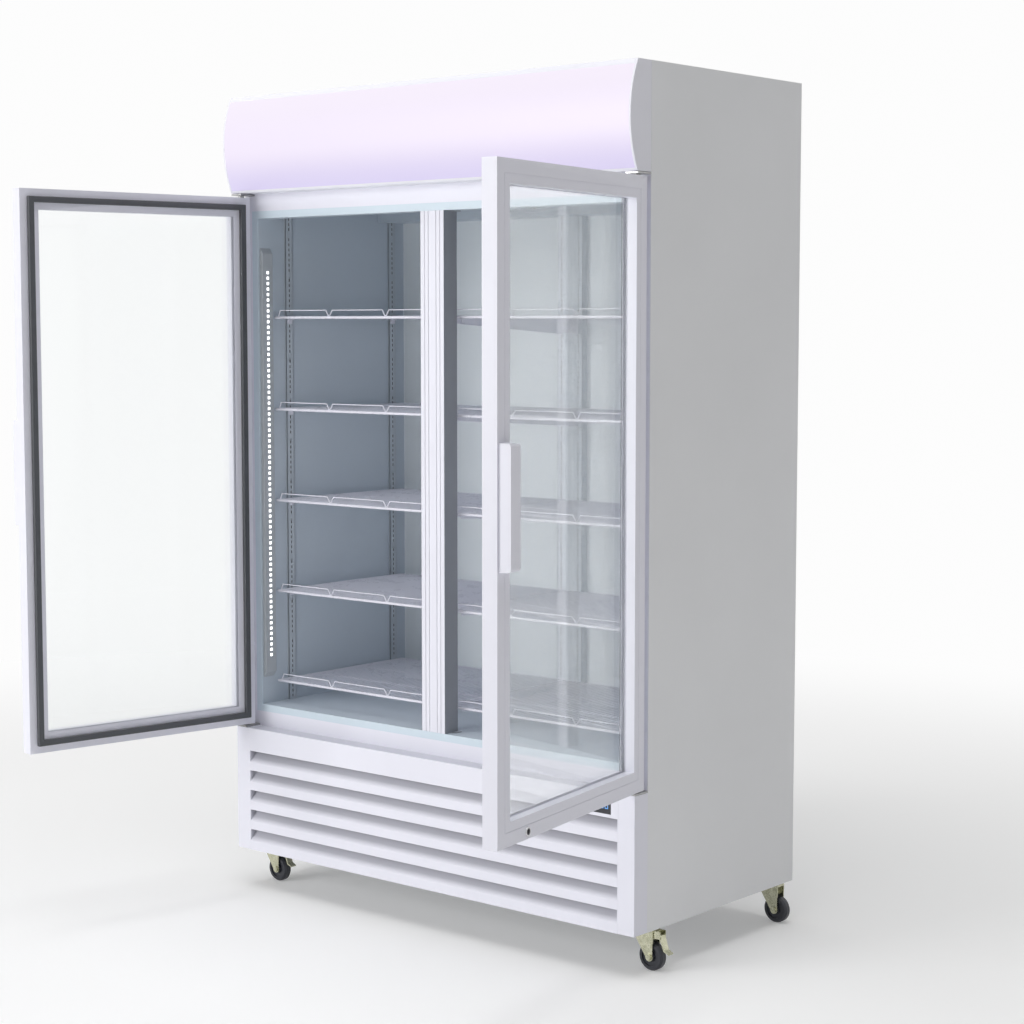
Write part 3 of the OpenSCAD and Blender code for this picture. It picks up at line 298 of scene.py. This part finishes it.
def coated(name, colour, roughness=0.35, tone=0.03, peel_scale=900.0, peel_depth=0.05,
           gloss_change=0.08, **plain):
    """Paint or moulded plastic."""
    material, shader = new_material(name, **plain)
    coat = place_effect(material, SPRAYED_COAT, {
        "Colour": colour, "Tone": tone, "Peel Scale": peel_scale, "Peel Depth": peel_depth,
        "Roughness": roughness, "Gloss Change": gloss_change})
    wire(material.node_tree,
         (coat.outputs["Colour"], shader.inputs["Base Color"]),
         (coat.outputs["Roughness"], shader.inputs["Roughness"]),
         (coat.outputs["Normal"], shader.inputs["Normal"]))
    return material


def coat_with_painted_light_tone(name, colour, second, direction, origin, start, end, **coat):
    """Paint that turns into a second colour beyond a plane, or beyond a pair of planes; every use paints
    light or shade with the second colour.
    """
    material = coated(name, colour, **coat)
    tree = material.node_tree
    blend = place_effect(material, PLACE_BLEND, {
        "Colour": colour, "Second Colour": second, "Direction": direction, "Origin": origin,
        "Start": start, "End": end})
    use = [n for n in tree.nodes if n.type == "GROUP" and n.node_tree == SPRAYED_COAT][0]
    wire(tree, (blend.outputs["Colour"], use.inputs["Colour"]))
    return material


def metal(name, colour, second, roughness=0.35, blotch=60.0, stretch=(400.0, 400.0, 12.0),
          depth=0.15, metallic=1.0):
    """Bare or plated metal."""
    material, shader = new_material(name, Metallic=metallic)
    worn = place_effect(material, WORN_METAL, {
        "Colour": colour, "Second Colour": second, "Blotch Scale": blotch,
        "Scratch Stretch": stretch, "Scratch Depth": depth, "Roughness": roughness})
    wire(material.node_tree,
         (worn.outputs["Colour"], shader.inputs["Base Color"]),
         (worn.outputs["Roughness"], shader.inputs["Roughness"]),
         (worn.outputs["Normal"], shader.inputs["Normal"]))
    return material


CLEAR_SHARE = 0.85


def glass(name, colour, roughness=0.0):
    """Clear glass that lets light through to what is behind it."""
    material, shader = new_material(name, Base_Color=colour, Roughness=roughness, IOR=1.45,
                                    Transmission_Weight=1.0)
    tree = material.node_tree
    path = node(tree, "LightPath")
    either = node(tree, "Math", operation="MAXIMUM")
    thin = node(tree, "Math", operation="MAXIMUM", inputs={1: CLEAR_SHARE})
    clear = node(tree, "BsdfTransparent", inputs={"Color": colour})
    choose = node(tree, "MixShader")
    wire(tree,
         (path.outputs["Is Shadow Ray"], either.inputs[0]),
         (path.outputs["Is Diffuse Ray"], either.inputs[1]),
         (either.outputs[0], thin.inputs[0]),
         (thin.outputs[0], choose.inputs[0]),
         (shader.outputs[0], choose.inputs[1]),
         (clear.outputs[0], choose.inputs[2]),
         (choose.outputs[0], tree.nodes["Material Output"].inputs["Surface"]))
    return material


def lit(name, low_colour, middle_colour, high_colour, span, strength, roughness=0.4):
    """A lit diffuser whose colour changes with height between the three heights in span."""
    material, shader = new_material(name, Roughness=roughness, Emission_Strength=strength)
    fade = place_effect(material, HEIGHT_FADE, {
        "Low Colour": low_colour, "Middle Colour": middle_colour, "High Colour": high_colour,
        "Low": span[0], "Middle": span[1], "High": span[2]})
    wire(material.node_tree,
         (fade.outputs[0], shader.inputs["Emission Color"]))
    shader.inputs["Base Color"].default_value = (0.12, 0.12, 0.13, 1)
    return material


white_paint = coated("white_paint", linear(236, 236, 246), roughness=0.34)
side_paint = coated("side_paint", linear(236, 237, 239), roughness=0.42, peel_depth=0.03)
canopy_paint = coated("canopy_paint", linear(238, 238, 246), roughness=0.36)
liner_back_y = high("evaporator_cover", 1)
# Painted light and shade: the liner's walls take a darker blue-grey, standing for the shade inside the
# cabinet, and its back wall a lighter tone, standing for the light that reaches it.
liner_painted_light_and_shade = coat_with_painted_light_tone(
    "liner_painted_light_and_shade", linear(202, 212, 222), linear(246, 252, 255), (0, 1, 0), (0, 0, 0),
    liner_back_y - 3 * MM, liner_back_y - 1 * MM, roughness=0.38, tone=0.02)
breaker_plastic = coated("breaker_plastic", linear(214, 228, 238), roughness=0.30,
                         peel_scale=600.0, peel_depth=0.03)
door_plastic = coated("door_plastic", linear(236, 236, 246), roughness=0.33, peel_scale=700.0)
# Painted shade: the mullion's sides turn darker grey than its white face, standing for the shade that
# falls on them.
mullion_painted_side_shade = coat_with_painted_light_tone(
    "mullion_painted_side_shade", linear(236, 236, 246), linear(150, 153, 160), (1, 0, 0), (0, 0, 0),
    high("mullion", 0) - 15.2 * MM, high("mullion", 0) - 14.4 * MM, roughness=0.36)
# Painted shade: the grille's slats turn darker with depth behind the fascia's face, standing for the shade
# inside the slots.
grille_painted_slat_shade = coat_with_painted_light_tone(
    "grille_painted_slat_shade", linear(236, 236, 246), linear(206, 206, 216), (0, 1, 0), (0, fascia_y, 0),
    1.2 * MM, 9 * MM, roughness=0.34)
strip_paint = coated("strip_paint", linear(200, 210, 219), roughness=0.38)
pilaster_paint = coated("pilaster_paint", linear(200, 208, 216), roughness=0.42)
rack_coating = coated("rack_coating", linear(236, 236, 246), roughness=0.28, peel_scale=400.0)
gasket_rubber = coated("gasket_rubber", linear(80, 82, 86), roughness=0.55, tone=0.06,
                       peel_scale=300.0, peel_depth=0.12)
tyre_rubber = coated("tyre_rubber", linear(44, 46, 54), roughness=0.4, tone=0.15,
                     peel_scale=500.0, peel_depth=0.25)
black_plastic = coated("black_plastic", linear(28, 28, 30), roughness=0.45, peel_depth=0.15)
# Painted shade: a dark colour for the sheet behind the pressed slots, standing for the shade inside them.
slot_back_painted_shade = coated("slot_back_painted_shade", linear(74, 62, 56), roughness=0.7)
display_glass = coated("display_glass", linear(8, 14, 30), roughness=0.12, tone=0.1,
                       peel_depth=0.0, gloss_change=0.04, Coat_Weight=0.6, Coat_Roughness=0.05)
display_bezel = coated("display_bezel", linear(236, 236, 242), roughness=0.35)
compressor_paint = coated("compressor_paint", linear(22, 22, 24), roughness=0.38, tone=0.2,
                          peel_depth=0.2)
foam_skin = coated("foam_skin", linear(226, 214, 170), roughness=0.85, tone=0.12,
                   peel_scale=250.0, peel_depth=0.5)
strip_plastic = coated("strip_plastic", linear(188, 193, 198), roughness=0.3)
galvanised = metal("galvanised", linear(174, 177, 180), linear(165, 168, 171), roughness=0.42,
                   blotch=30.0, stretch=(60.0, 60.0, 60.0), depth=0.08)
zinc_plate = metal("zinc_plate", linear(206, 205, 182), linear(178, 178, 152), roughness=0.26,
                   blotch=90.0, stretch=(300.0, 300.0, 300.0), depth=0.08)
hinge_steel = metal("hinge_steel", linear(178, 178, 178), linear(150, 150, 150), roughness=0.36)
chrome = metal("chrome", linear(214, 214, 216), linear(196, 196, 200), roughness=0.12,
               depth=0.02)
lock_dark = metal("lock_dark", linear(70, 70, 74), linear(44, 44, 48), roughness=0.3,
                  blotch=200.0)
fin_metal = metal("fin_metal", linear(196, 200, 204), linear(170, 174, 178), roughness=0.4,
                  stretch=(30.0, 600.0, 600.0))
copper = metal("copper", linear(198, 124, 84), linear(150, 86, 60), roughness=0.3,
               blotch=120.0)
door_glass = glass("door_glass", (0.992, 0.996, 0.996, 1))
led_lens = lit("led_lens", (1, 1, 1, 1), (1, 1, 1, 1), (1, 1, 1, 1),
               (0.0, 1.0, 2.0), 2.2)
lamp_glow = lit("lamp_glow", (1, 1, 1, 1), (1, 1, 1, 1), (1, 1, 1, 1), (0.0, 1.0, 2.0), 1.0)
digit_glow = lit("digit_glow", linear(70, 150, 230), linear(90, 170, 245),
                 linear(70, 150, 230), (0.3, 0.38, 0.42), 1.0)

panel_low = low("light_panel", 2)
panel_high = high("light_panel", 2)
lit_panel = lit("lit_panel", linear(222, 212, 248), linear(243, 232, 252),
                linear(248, 238, 253),
                (panel_low, panel_low + 0.45 * (panel_high - panel_low), panel_high), 0.80)


# ---------------------------------------------------------------- ways of making a piece

def deselect():
    """Leaves nothing selected, so that an operator acts only on what is added next."""
    if bpy.context.object and bpy.context.object.mode != "OBJECT":
        bpy.ops.object.mode_set(mode="OBJECT")
    bpy.ops.object.select_all(action="DESELECT")


def settle(obj, name, material):
    """Names a new piece, puts its place into its mesh and gives it its material."""
    obj.name = name
    bpy.ops.object.transform_apply(location=True, rotation=True, scale=True)
    obj.data.materials.clear()
    obj.data.materials.append(material)
    return obj


def block(name, lowest, highest, material, bevel=0.0):
    """A box between two corners, with its edges rounded."""
    deselect()
    centre = [(a + b) / 2 for a, b in zip(lowest, highest)]
    bpy.ops.mesh.primitive_cube_add(size=1, location=centre)
    obj = bpy.context.object
    obj.scale = [b - a for a, b in zip(lowest, highest)]
    settle(obj, name, material)
    if bevel:
        bpy.ops.object.mode_set(mode="EDIT")
        bpy.ops.mesh.select_all(action="SELECT")
        bpy.ops.mesh.bevel(offset=bevel, segments=2)
        bpy.ops.object.mode_set(mode="OBJECT")
        bpy.ops.object.shade_smooth_by_angle(angle=math.radians(35))
    return obj


def rod(name, start, end, radius, material, sides=10, bevel=0.0):
    """A round bar between two points."""
    deselect()
    run = [b - a for a, b in zip(start, end)]
    length = math.sqrt(sum(d * d for d in run))
    bpy.ops.mesh.primitive_cylinder_add(
        vertices=sides, radius=radius, depth=length,
        location=[(a + b) / 2 for a, b in zip(start, end)],
        rotation=(0, math.acos(run[2] / length), math.atan2(run[1], run[0])))
    obj = settle(bpy.context.object, name, material)
    if bevel:
        bpy.ops.object.mode_set(mode="EDIT")
        bpy.ops.mesh.select_all(action="SELECT")
        bpy.ops.mesh.edges_select_sharp(sharpness=math.radians(60))
        bpy.ops.mesh.bevel(offset=bevel, segments=2)
        bpy.ops.object.mode_set(mode="OBJECT")
    bpy.ops.object.shade_smooth_by_angle(angle=math.radians(50))
    return obj


def bent_wire(name, points, radius, material):
    """A wire that is bent at each point of an open route."""
    deselect()
    curve = bpy.data.curves.new(name, "CURVE")
    curve.dimensions = "3D"
    curve.bevel_depth = radius
    curve.bevel_resolution = 1
    curve.use_fill_caps = True
    spline = curve.splines.new("POLY")
    spline.points.add(len(points) - 1)
    for point, place in zip(spline.points, points):
        point.co = (*place, 1)
    obj = bpy.data.objects.new(name, curve)
    bpy.context.scene.collection.objects.link(obj)
    bpy.context.view_layer.objects.active = obj
    obj.select_set(True)
    bpy.ops.object.convert(target="MESH")
    obj = bpy.context.object
    obj.data.materials.clear()
    obj.data.materials.append(material)
    bpy.ops.object.shade_smooth_by_angle(angle=math.radians(60))
    return obj


def joined(name, parts):
    """One piece made of several."""
    deselect()
    for part in parts:
        part.select_set(True)
    bpy.context.view_layer.objects.active = parts[0]
    bpy.ops.object.join()
    parts[0].name = name
    return parts[0]


def copied(obj, name, shift):
    """A copy of a piece with its own mesh, moved by shift."""
    deselect()
    twin = obj.copy()
    twin.data = obj.data.copy()
    twin.name = name
    bpy.context.scene.collection.objects.link(twin)
    bpy.context.view_layer.objects.active = twin
    twin.select_set(True)
    bpy.ops.transform.translate(value=shift)
    bpy.ops.object.transform_apply(location=True, rotation=True, scale=True)
    return twin


def applied(obj, kind, **values):
    """Adds a modifier to a piece and applies it."""
    deselect()
    bpy.context.view_layer.objects.active = obj
    obj.select_set(True)
    modifier = obj.modifiers.new(kind.lower(), kind)
    for key, value in values.items():
        setattr(modifier, key, value)
    bpy.ops.object.modifier_apply(modifier=modifier.name)


def paint(material, *names):
    """Gives CAD nodes one material all over."""
    for name in names:
        data = nodes[name].data
        data.materials.clear()
        data.materials.append(material)


def soften(width, *names):
    """Rounds the sharp edges of CAD nodes a little, so that they catch the light."""
    for name in names:
        weld = nodes[name].modifiers.new("weld", "WELD")
        weld.merge_threshold = 0.00001
        bevel = nodes[name].modifiers.new("bevel", "BEVEL")
        bevel.width = width
        bevel.segments = 2
        bevel.limit_method = "ANGLE"
        bevel.angle_limit = math.radians(40)
        bevel.harden_normals = True
        bevel.use_clamp_overlap = True


# ---------------------------------------------------------------- finishes of the CAD nodes

paint(side_paint, "left_side_panel", "right_side_panel", "top_panel")
paint(galvanised, "back_panel", "base_frame", "condenser_shroud")
paint(foam_skin, "foam_insulation")
paint(liner_painted_light_and_shade, "inner_liner", "evaporator_cover")
paint(white_paint, "front_frame", "front_posts")
paint(grille_painted_slat_shade, "grille_panel")
paint(breaker_plastic, "breaker_frame")
paint(mullion_painted_side_shade, "mullion")
paint(rack_coating, "shelf_supports", "evaporator_fan_guards")
paint(strip_plastic, "led_strips")
paint(fin_metal, "evaporator_coil", "condenser_coil")
paint(black_plastic, "evaporator_fan_left", "evaporator_fan_right", "condenser_fan",
      "drain_pan", "cord_gland")
paint(canopy_paint, "canopy_housing", "canopy_end_caps")
paint(lit_panel, "light_panel")
paint(lamp_glow, "canopy_lamps")
paint(compressor_paint, "compressor")
paint(copper, "refrigerant_pipes")
paint(hinge_steel, "hinge_brackets")
paint(zinc_plate, "caster_plates", "brake_lever_left", "brake_lever_right")
for row in ("front", "rear"):
    for side in SIDES:
        paint(zinc_plate, "caster_fork_%s_%s" % (row, side))
        paint(tyre_rubber, "caster_wheel_%s_%s" % (row, side))
for side in SIDES:
    paint(door_plastic, side + "_door_frame", side + "_door_handle")
    paint(door_glass, side + "_door_glass")
    paint(gasket_rubber, side + "_door_gasket")
    paint(lock_dark, side + "_door_lock")
paint(display_glass, "controller")


def paint_near(name, centre, reach, material):
    """Gives the faces of a CAD node that lie near a point a second material."""
    data = nodes[name].data
    data.materials.append(material)
    slot = len(data.materials) - 1
    for face in data.polygons:
        if math.dist(face.center, centre) < reach:
            face.material_index = slot


for side in SIDES:
    lock_low, lock_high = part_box(side + "_door_lock")
    paint_near(side + "_door_frame", [(a + b) / 2 for a, b in zip(lock_low, lock_high)],
               14 * MM, chrome)

soften(0.0012, "left_door_frame", "right_door_frame", "front_posts", "canopy_end_caps")
soften(0.003, "left_door_handle", "right_door_handle")
soften(0.0015, "mullion", "left_door_gasket", "right_door_gasket", "led_strips")


# ---------------------------------------------------------------- wire racks

RIM_RADIUS = 3.4 * MM
WIRE_RADIUS = 1.5 * MM
CROSS_RADIUS = 2.2 * MM
WIRE_PITCH = 14.5 * MM
LIP_INSET = 12 * MM
NOTCH_HALF = 11 * MM
BAY_GAP = 12 * MM

rack_low, rack_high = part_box("shelf_1")
rack_x1 = rack_high[0]
rack_x0 = BAY_GAP / 2
rack_front = rack_low[1] + 3.5 * MM
rack_rear = rack_high[1] - 3.5 * MM
rack_z = rack_low[2] + 3.5 * MM
lip_z = rack_high[2] - WIRE_RADIUS


def wire_rack():
    """The lowest right-hand rack: rim, cross bars, wires and the notched front lip."""
    inner = rack_x0 + RIM_RADIUS
    outer = rack_x1 - RIM_RADIUS
    parts = [
        rod("rim", (inner - RIM_RADIUS, rack_front, rack_z), (outer + RIM_RADIUS, rack_front,
            rack_z), RIM_RADIUS, rack_coating, 12, 1.2 * MM),
        rod("rim", (inner, rack_rear, rack_z), (outer, rack_rear, rack_z), RIM_RADIUS,
            rack_coating, 12)]
    for x in (inner, outer):
        parts.append(rod("rim", (x, rack_front, rack_z), (x, rack_rear, rack_z), RIM_RADIUS,
                         rack_coating, 12))
    for share in (1 / 3, 2 / 3):
        y = rack_front + share * (rack_rear - rack_front)
        parts.append(rod("cross", (inner, y, rack_z - 1.3 * MM), (outer, y, rack_z - 1.3 * MM),
                         CROSS_RADIUS, rack_coating))
    count = int((rack_x1 - rack_x0 - 14 * MM) / WIRE_PITCH)
    first = rack_x0 + (rack_x1 - rack_x0 - count * WIRE_PITCH) / 2
    wire_z = rack_z + 3.5 * MM - WIRE_RADIUS
    strand = rod("wire", (first, rack_front - 1 * MM, wire_z), (first, rack_rear + 2 * MM,
                 wire_z), WIRE_RADIUS, rack_coating, 8)
    applied(strand, "ARRAY", count=count + 1, use_relative_offset=False,
            use_constant_offset=True, constant_offset_displace=(WIRE_PITCH, 0, 0))
    parts.append(strand)
    thirds = [rack_x0 + (rack_x1 - rack_x0) * k / 3 for k in (1, 2)]
    start = rack_x0 + LIP_INSET
    end = rack_x1 - LIP_INSET
    route = [(start, rack_z), (start + 8 * MM, lip_z)]
    for x in thirds:
        route += [(x - NOTCH_HALF, lip_z), (x - 2 * MM, rack_z + 4 * MM),
                  (x + 2 * MM, rack_z + 4 * MM), (x + NOTCH_HALF, lip_z)]
    route += [(end - 8 * MM, lip_z), (end, rack_z)]
    parts.append(bent_wire("lip", [(x, rack_front, z) for x, z in route], WIRE_RADIUS * 1.05,
                           rack_coating))
    return joined("rack", parts)


master_rack = wire_rack()
bay_shift = -(rack_x1 + rack_x0)
for name in SHELVES:
    rise = low(name, 2) - rack_low[2]
    pair = [copied(master_rack, name + "_right", (0, 0, rise)),
            copied(master_rack, name + "_left", (bay_shift, 0, rise))]
    rack = joined(name + "_racks", pair)
    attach(rack, "cabinet")
    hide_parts(name)
bpy.data.objects.remove(master_rack)


# ---------------------------------------------------------------- slotted strips

SLOT_PITCH = 12.9 * MM
SLOT_GROUP = 8


def slotted_band(name, width, depth, z0, z1, columns, material):
    """A strip along Z whose face at -Y has columns of pressed slots, every eighth one left out."""
    segments = int((z1 - z0) / SLOT_PITCH)
    slot_w = 3.4 * MM
    slot_h = 7.2 * MM
    edges = [-width / 2]
    for x in columns:
        edges += [x - slot_w / 2, x + slot_w / 2]
    edges.append(width / 2)
    parts = []
    for k in range(len(edges) - 1):
        is_slot = k % 2 == 1
        parts.append(block("bar", (edges[k], -depth, 0),
                           (edges[k + 1], -depth + (1.2 * MM), SLOT_PITCH - (slot_h if is_slot
                            else 0)), material))
    segment = joined("segment", parts)
    applied(segment, "ARRAY", count=segments, use_relative_offset=False,
            use_constant_offset=True, constant_offset_displace=(0, 0, SLOT_PITCH))
    plain = []
    for k in range(SLOT_GROUP // 2, segments, SLOT_GROUP):
        for x in columns:
            plain.append(block("web", (x - slot_w / 2, -depth, k * SLOT_PITCH),
                               (x + slot_w / 2, -depth + 1.2 * MM, (k + 1) * SLOT_PITCH),
                               material))
    top = segments * SLOT_PITCH
    plain.append(block("end", (-width / 2, -depth, top), (width / 2, -depth + 1.2 * MM,
                                                          z1 - z0), material))
    for side in (-1, 1):
        edge = side * width / 2
        plain.append(block("flange", (min(edge, edge - side * 1.2 * MM), -depth, 0),
                           (max(edge, edge - side * 1.2 * MM), 0, z1 - z0), material))
    # A dark sheet behind the slots stands for the shade inside them (painted shade).
    back = block("back", (-width / 2 + 1.2 * MM, -depth + 2.6 * MM, 0),
                 (width / 2 - 1.2 * MM, -depth + 3.2 * MM, z1 - z0), slot_back_painted_shade)
    strip = joined(name, [segment] + plain + [back])
    return strip


def strip_at(strip, name, place, turn):
    """A copy of a strip, turned about Z and put at place."""
    twin = copied(strip, name, (0, 0, 0))
    twin.rotation_euler = (0, 0, turn)
    twin.location = place
    bpy.ops.object.transform_apply(location=True, rotation=True, scale=True)
    return twin


post_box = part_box("back_post")
post_depth = post_box[1][1] - post_box[0][1]
post_strip = slotted_band("post_strip", post_box[1][0] - post_box[0][0], post_depth,
                          post_box[0][2], post_box[1][2], (-0.027, 0.027), strip_paint)
post = strip_at(post_strip, "back_post_strip", (0, post_box[1][1], post_box[0][2]), 0)
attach(post, "cabinet")
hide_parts("back_post")
bpy.data.objects.remove(post_strip)

pil_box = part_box("shelf_pilasters")
PILASTER_W = 25 * MM
PILASTER_T = 5 * MM
side_strip = slotted_band("side_strip", PILASTER_W, PILASTER_T, pil_box[0][2], pil_box[1][2],
                          (0.0,), pilaster_paint)
placed_strips = []
for side, sign in SIDES.items():
    for y in (pil_box[0][1] + PILASTER_W / 2, pil_box[1][1] - PILASTER_W / 2):
        placed_strips.append(strip_at(side_strip, "pilaster", (sign * pil_box[1][0], y,
                                      pil_box[0][2]), -sign * math.pi / 2))
pilasters = joined("pilaster_strips", placed_strips)
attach(pilasters, "cabinet")
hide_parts("shelf_pilasters")
bpy.data.objects.remove(side_strip)


# ---------------------------------------------------------------- light bars on the side walls

LED_PITCH = 13.7 * MM
led_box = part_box("led_strips")
LED_WALL = 10 * MM


def led_row(sign):
    """A row of small square lenses along one light bar."""
    face = sign * (led_box[1][0] - LED_WALL)
    y = led_box[0][1] + 18 * MM
    z0 = led_box[0][2] + 54 * MM
    z1 = led_box[1][2] - 47 * MM
    count = int((z1 - z0) / LED_PITCH)
    inside = sorted((face, face - sign * 0.8 * MM))
    lens = block("lens", (inside[0], y - 3.6 * MM, z0), (inside[1], y + 3.6 * MM,
                                                         z0 + 7 * MM), led_lens, 0.3 * MM)
    applied(lens, "ARRAY", count=count, use_relative_offset=False, use_constant_offset=True,
            constant_offset_displace=(0, 0, LED_PITCH))
    return lens


leds = joined("led_lenses", [led_row(sign) for sign in SIDES.values()])
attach(leds, "cabinet")


# ---------------------------------------------------------------- display digits

SEGMENTS = {"3": "abgcd", "0": "abcdef", "5": "afgcd"}
DIGIT_W = 9 * MM
DIGIT_H = 17 * MM
STROKE = 1.8 * MM


def digit(x, z, face_y, figure):
    """One figure of seven bars."""
    half = DIGIT_H / 2
    bars = {
        "a": ((0, DIGIT_H - STROKE), (DIGIT_W, DIGIT_H)),
        "g": ((0, half - STROKE / 2), (DIGIT_W, half + STROKE / 2)),
        "d": ((0, 0), (DIGIT_W, STROKE)),
        "f": ((0, half), (STROKE, DIGIT_H)),
        "e": ((0, 0), (STROKE, half)),
        "b": ((DIGIT_W - STROKE, half), (DIGIT_W, DIGIT_H)),
        "c": ((DIGIT_W - STROKE, 0), (DIGIT_W, half))}
    return [block("bar", (x + bars[s][0][0], face_y - 0.2 * MM, z + bars[s][0][1]),
                  (x + bars[s][1][0], face_y, z + bars[s][1][1]), digit_glow, 0.05 * MM)
            for s in SEGMENTS[figure]]


screen_low, screen_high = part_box("controller")
digit_z = screen_low[2] + (screen_high[2] - screen_low[2] - DIGIT_H) / 2
figures = []
for place, figure in enumerate("30"):
    figures += digit(screen_high[0] - 34 * MM + place * 13 * MM, digit_z, screen_low[1], figure)
digits = joined("display_digits", figures)
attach(digits, "cabinet")


# ---------------------------------------------------------------- floor, light and background

AMBIENT_LEVEL = 0.235
BACKGROUND_LEVEL = 0.98
FLOOR_FADE = (1.2, 4.5)
FLOOR_GLOW = 0.20
bpy.context.scene.view_settings.view_transform = "Standard"


def soft_lamp(name, place, target, size, power, colour=(1, 1, 1)):
    """A large square lamp that faces target."""
    data = bpy.data.lights.new(name, "AREA")
    data.size = size
    data.energy = power
    data.color = colour
    obj = bpy.data.objects.new(name, data)
    obj.location = place
    away = [a - b for a, b in zip(place, target)]
    flat = math.hypot(away[0], away[1])
    obj.rotation_euler = (math.atan2(flat, away[2]), 0, math.atan2(away[1], away[0])
                          + math.pi / 2)
    bpy.context.scene.collection.objects.link(obj)


def seen_directly(tree):
    """1 where a ray comes from the camera, a reflection or a pane of glass, else 0."""
    rays = node(tree, "LightPath")
    glassy = node(tree, "Math", operation="MAXIMUM")
    any_of = node(tree, "Math", operation="MAXIMUM")
    wire(tree,
         (rays.outputs["Is Transmission Ray"], glassy.inputs[0]),
         (rays.outputs["Is Glossy Ray"], glassy.inputs[1]),
         (rays.outputs["Is Camera Ray"], any_of.inputs[0]),
         (glassy.outputs[0], any_of.inputs[1]))
    return any_of.outputs[0]


def studio_floor():
    """A pale floor that fades into the white background away from the object."""
    material, shader = new_material("studio_floor", Base_Color=(0.87, 0.87, 0.87, 1),
                                    Roughness=0.9, Emission_Color=(1, 1, 1, 1),
                                    Emission_Strength=FLOOR_GLOW)
    tree = material.node_tree
    place = node(tree, "TexCoord")
    away = node(tree, "VectorMath", operation="LENGTH")
    fade = node(tree, "MapRange", interpolation_type="SMOOTHSTEP",
                inputs={"From Min": FLOOR_FADE[0], "From Max": FLOOR_FADE[1]})
    share = node(tree, "Math", operation="MULTIPLY")
    white = node(tree, "Emission", inputs={"Strength": BACKGROUND_LEVEL})
    choose = node(tree, "MixShader")
    wire(tree,
         (place.outputs["Object"], away.inputs[0]),
         (away.outputs["Value"], fade.inputs["Value"]),
         (fade.outputs[0], share.inputs[0]),
         (seen_directly(tree), share.inputs[1]),
         (share.outputs[0], choose.inputs[0]),
         (shader.outputs[0], choose.inputs[1]),
         (white.outputs[0], choose.inputs[2]),
         (choose.outputs[0], tree.nodes["Material Output"].inputs["Surface"]))
    return material


deselect()
bpy.ops.mesh.primitive_plane_add(size=60, location=(0, 0, 0))
floor = bpy.context.object
floor.name = "floor"
floor.data.materials.append(studio_floor())

world = bpy.data.worlds.new("studio")
bpy.context.scene.world = world
world.use_nodes = True
sky = world.node_tree.nodes["Background"]
sky.inputs["Color"].default_value = (1, 1, 1, 1)
level = node(world.node_tree, "MapRange",
             inputs={"To Min": AMBIENT_LEVEL, "To Max": BACKGROUND_LEVEL})
wire(world.node_tree,
     (seen_directly(world.node_tree), level.inputs["Value"]),
     (level.outputs[0], sky.inputs["Strength"]))

soft_lamp("key", (-3.0, -6.5, 2.4), (0, 0, 1.0), 3.5, 240)
soft_lamp("top", (0.2, -0.8, 7.0), (0.2, -0.4, 0), 5.0, 235)
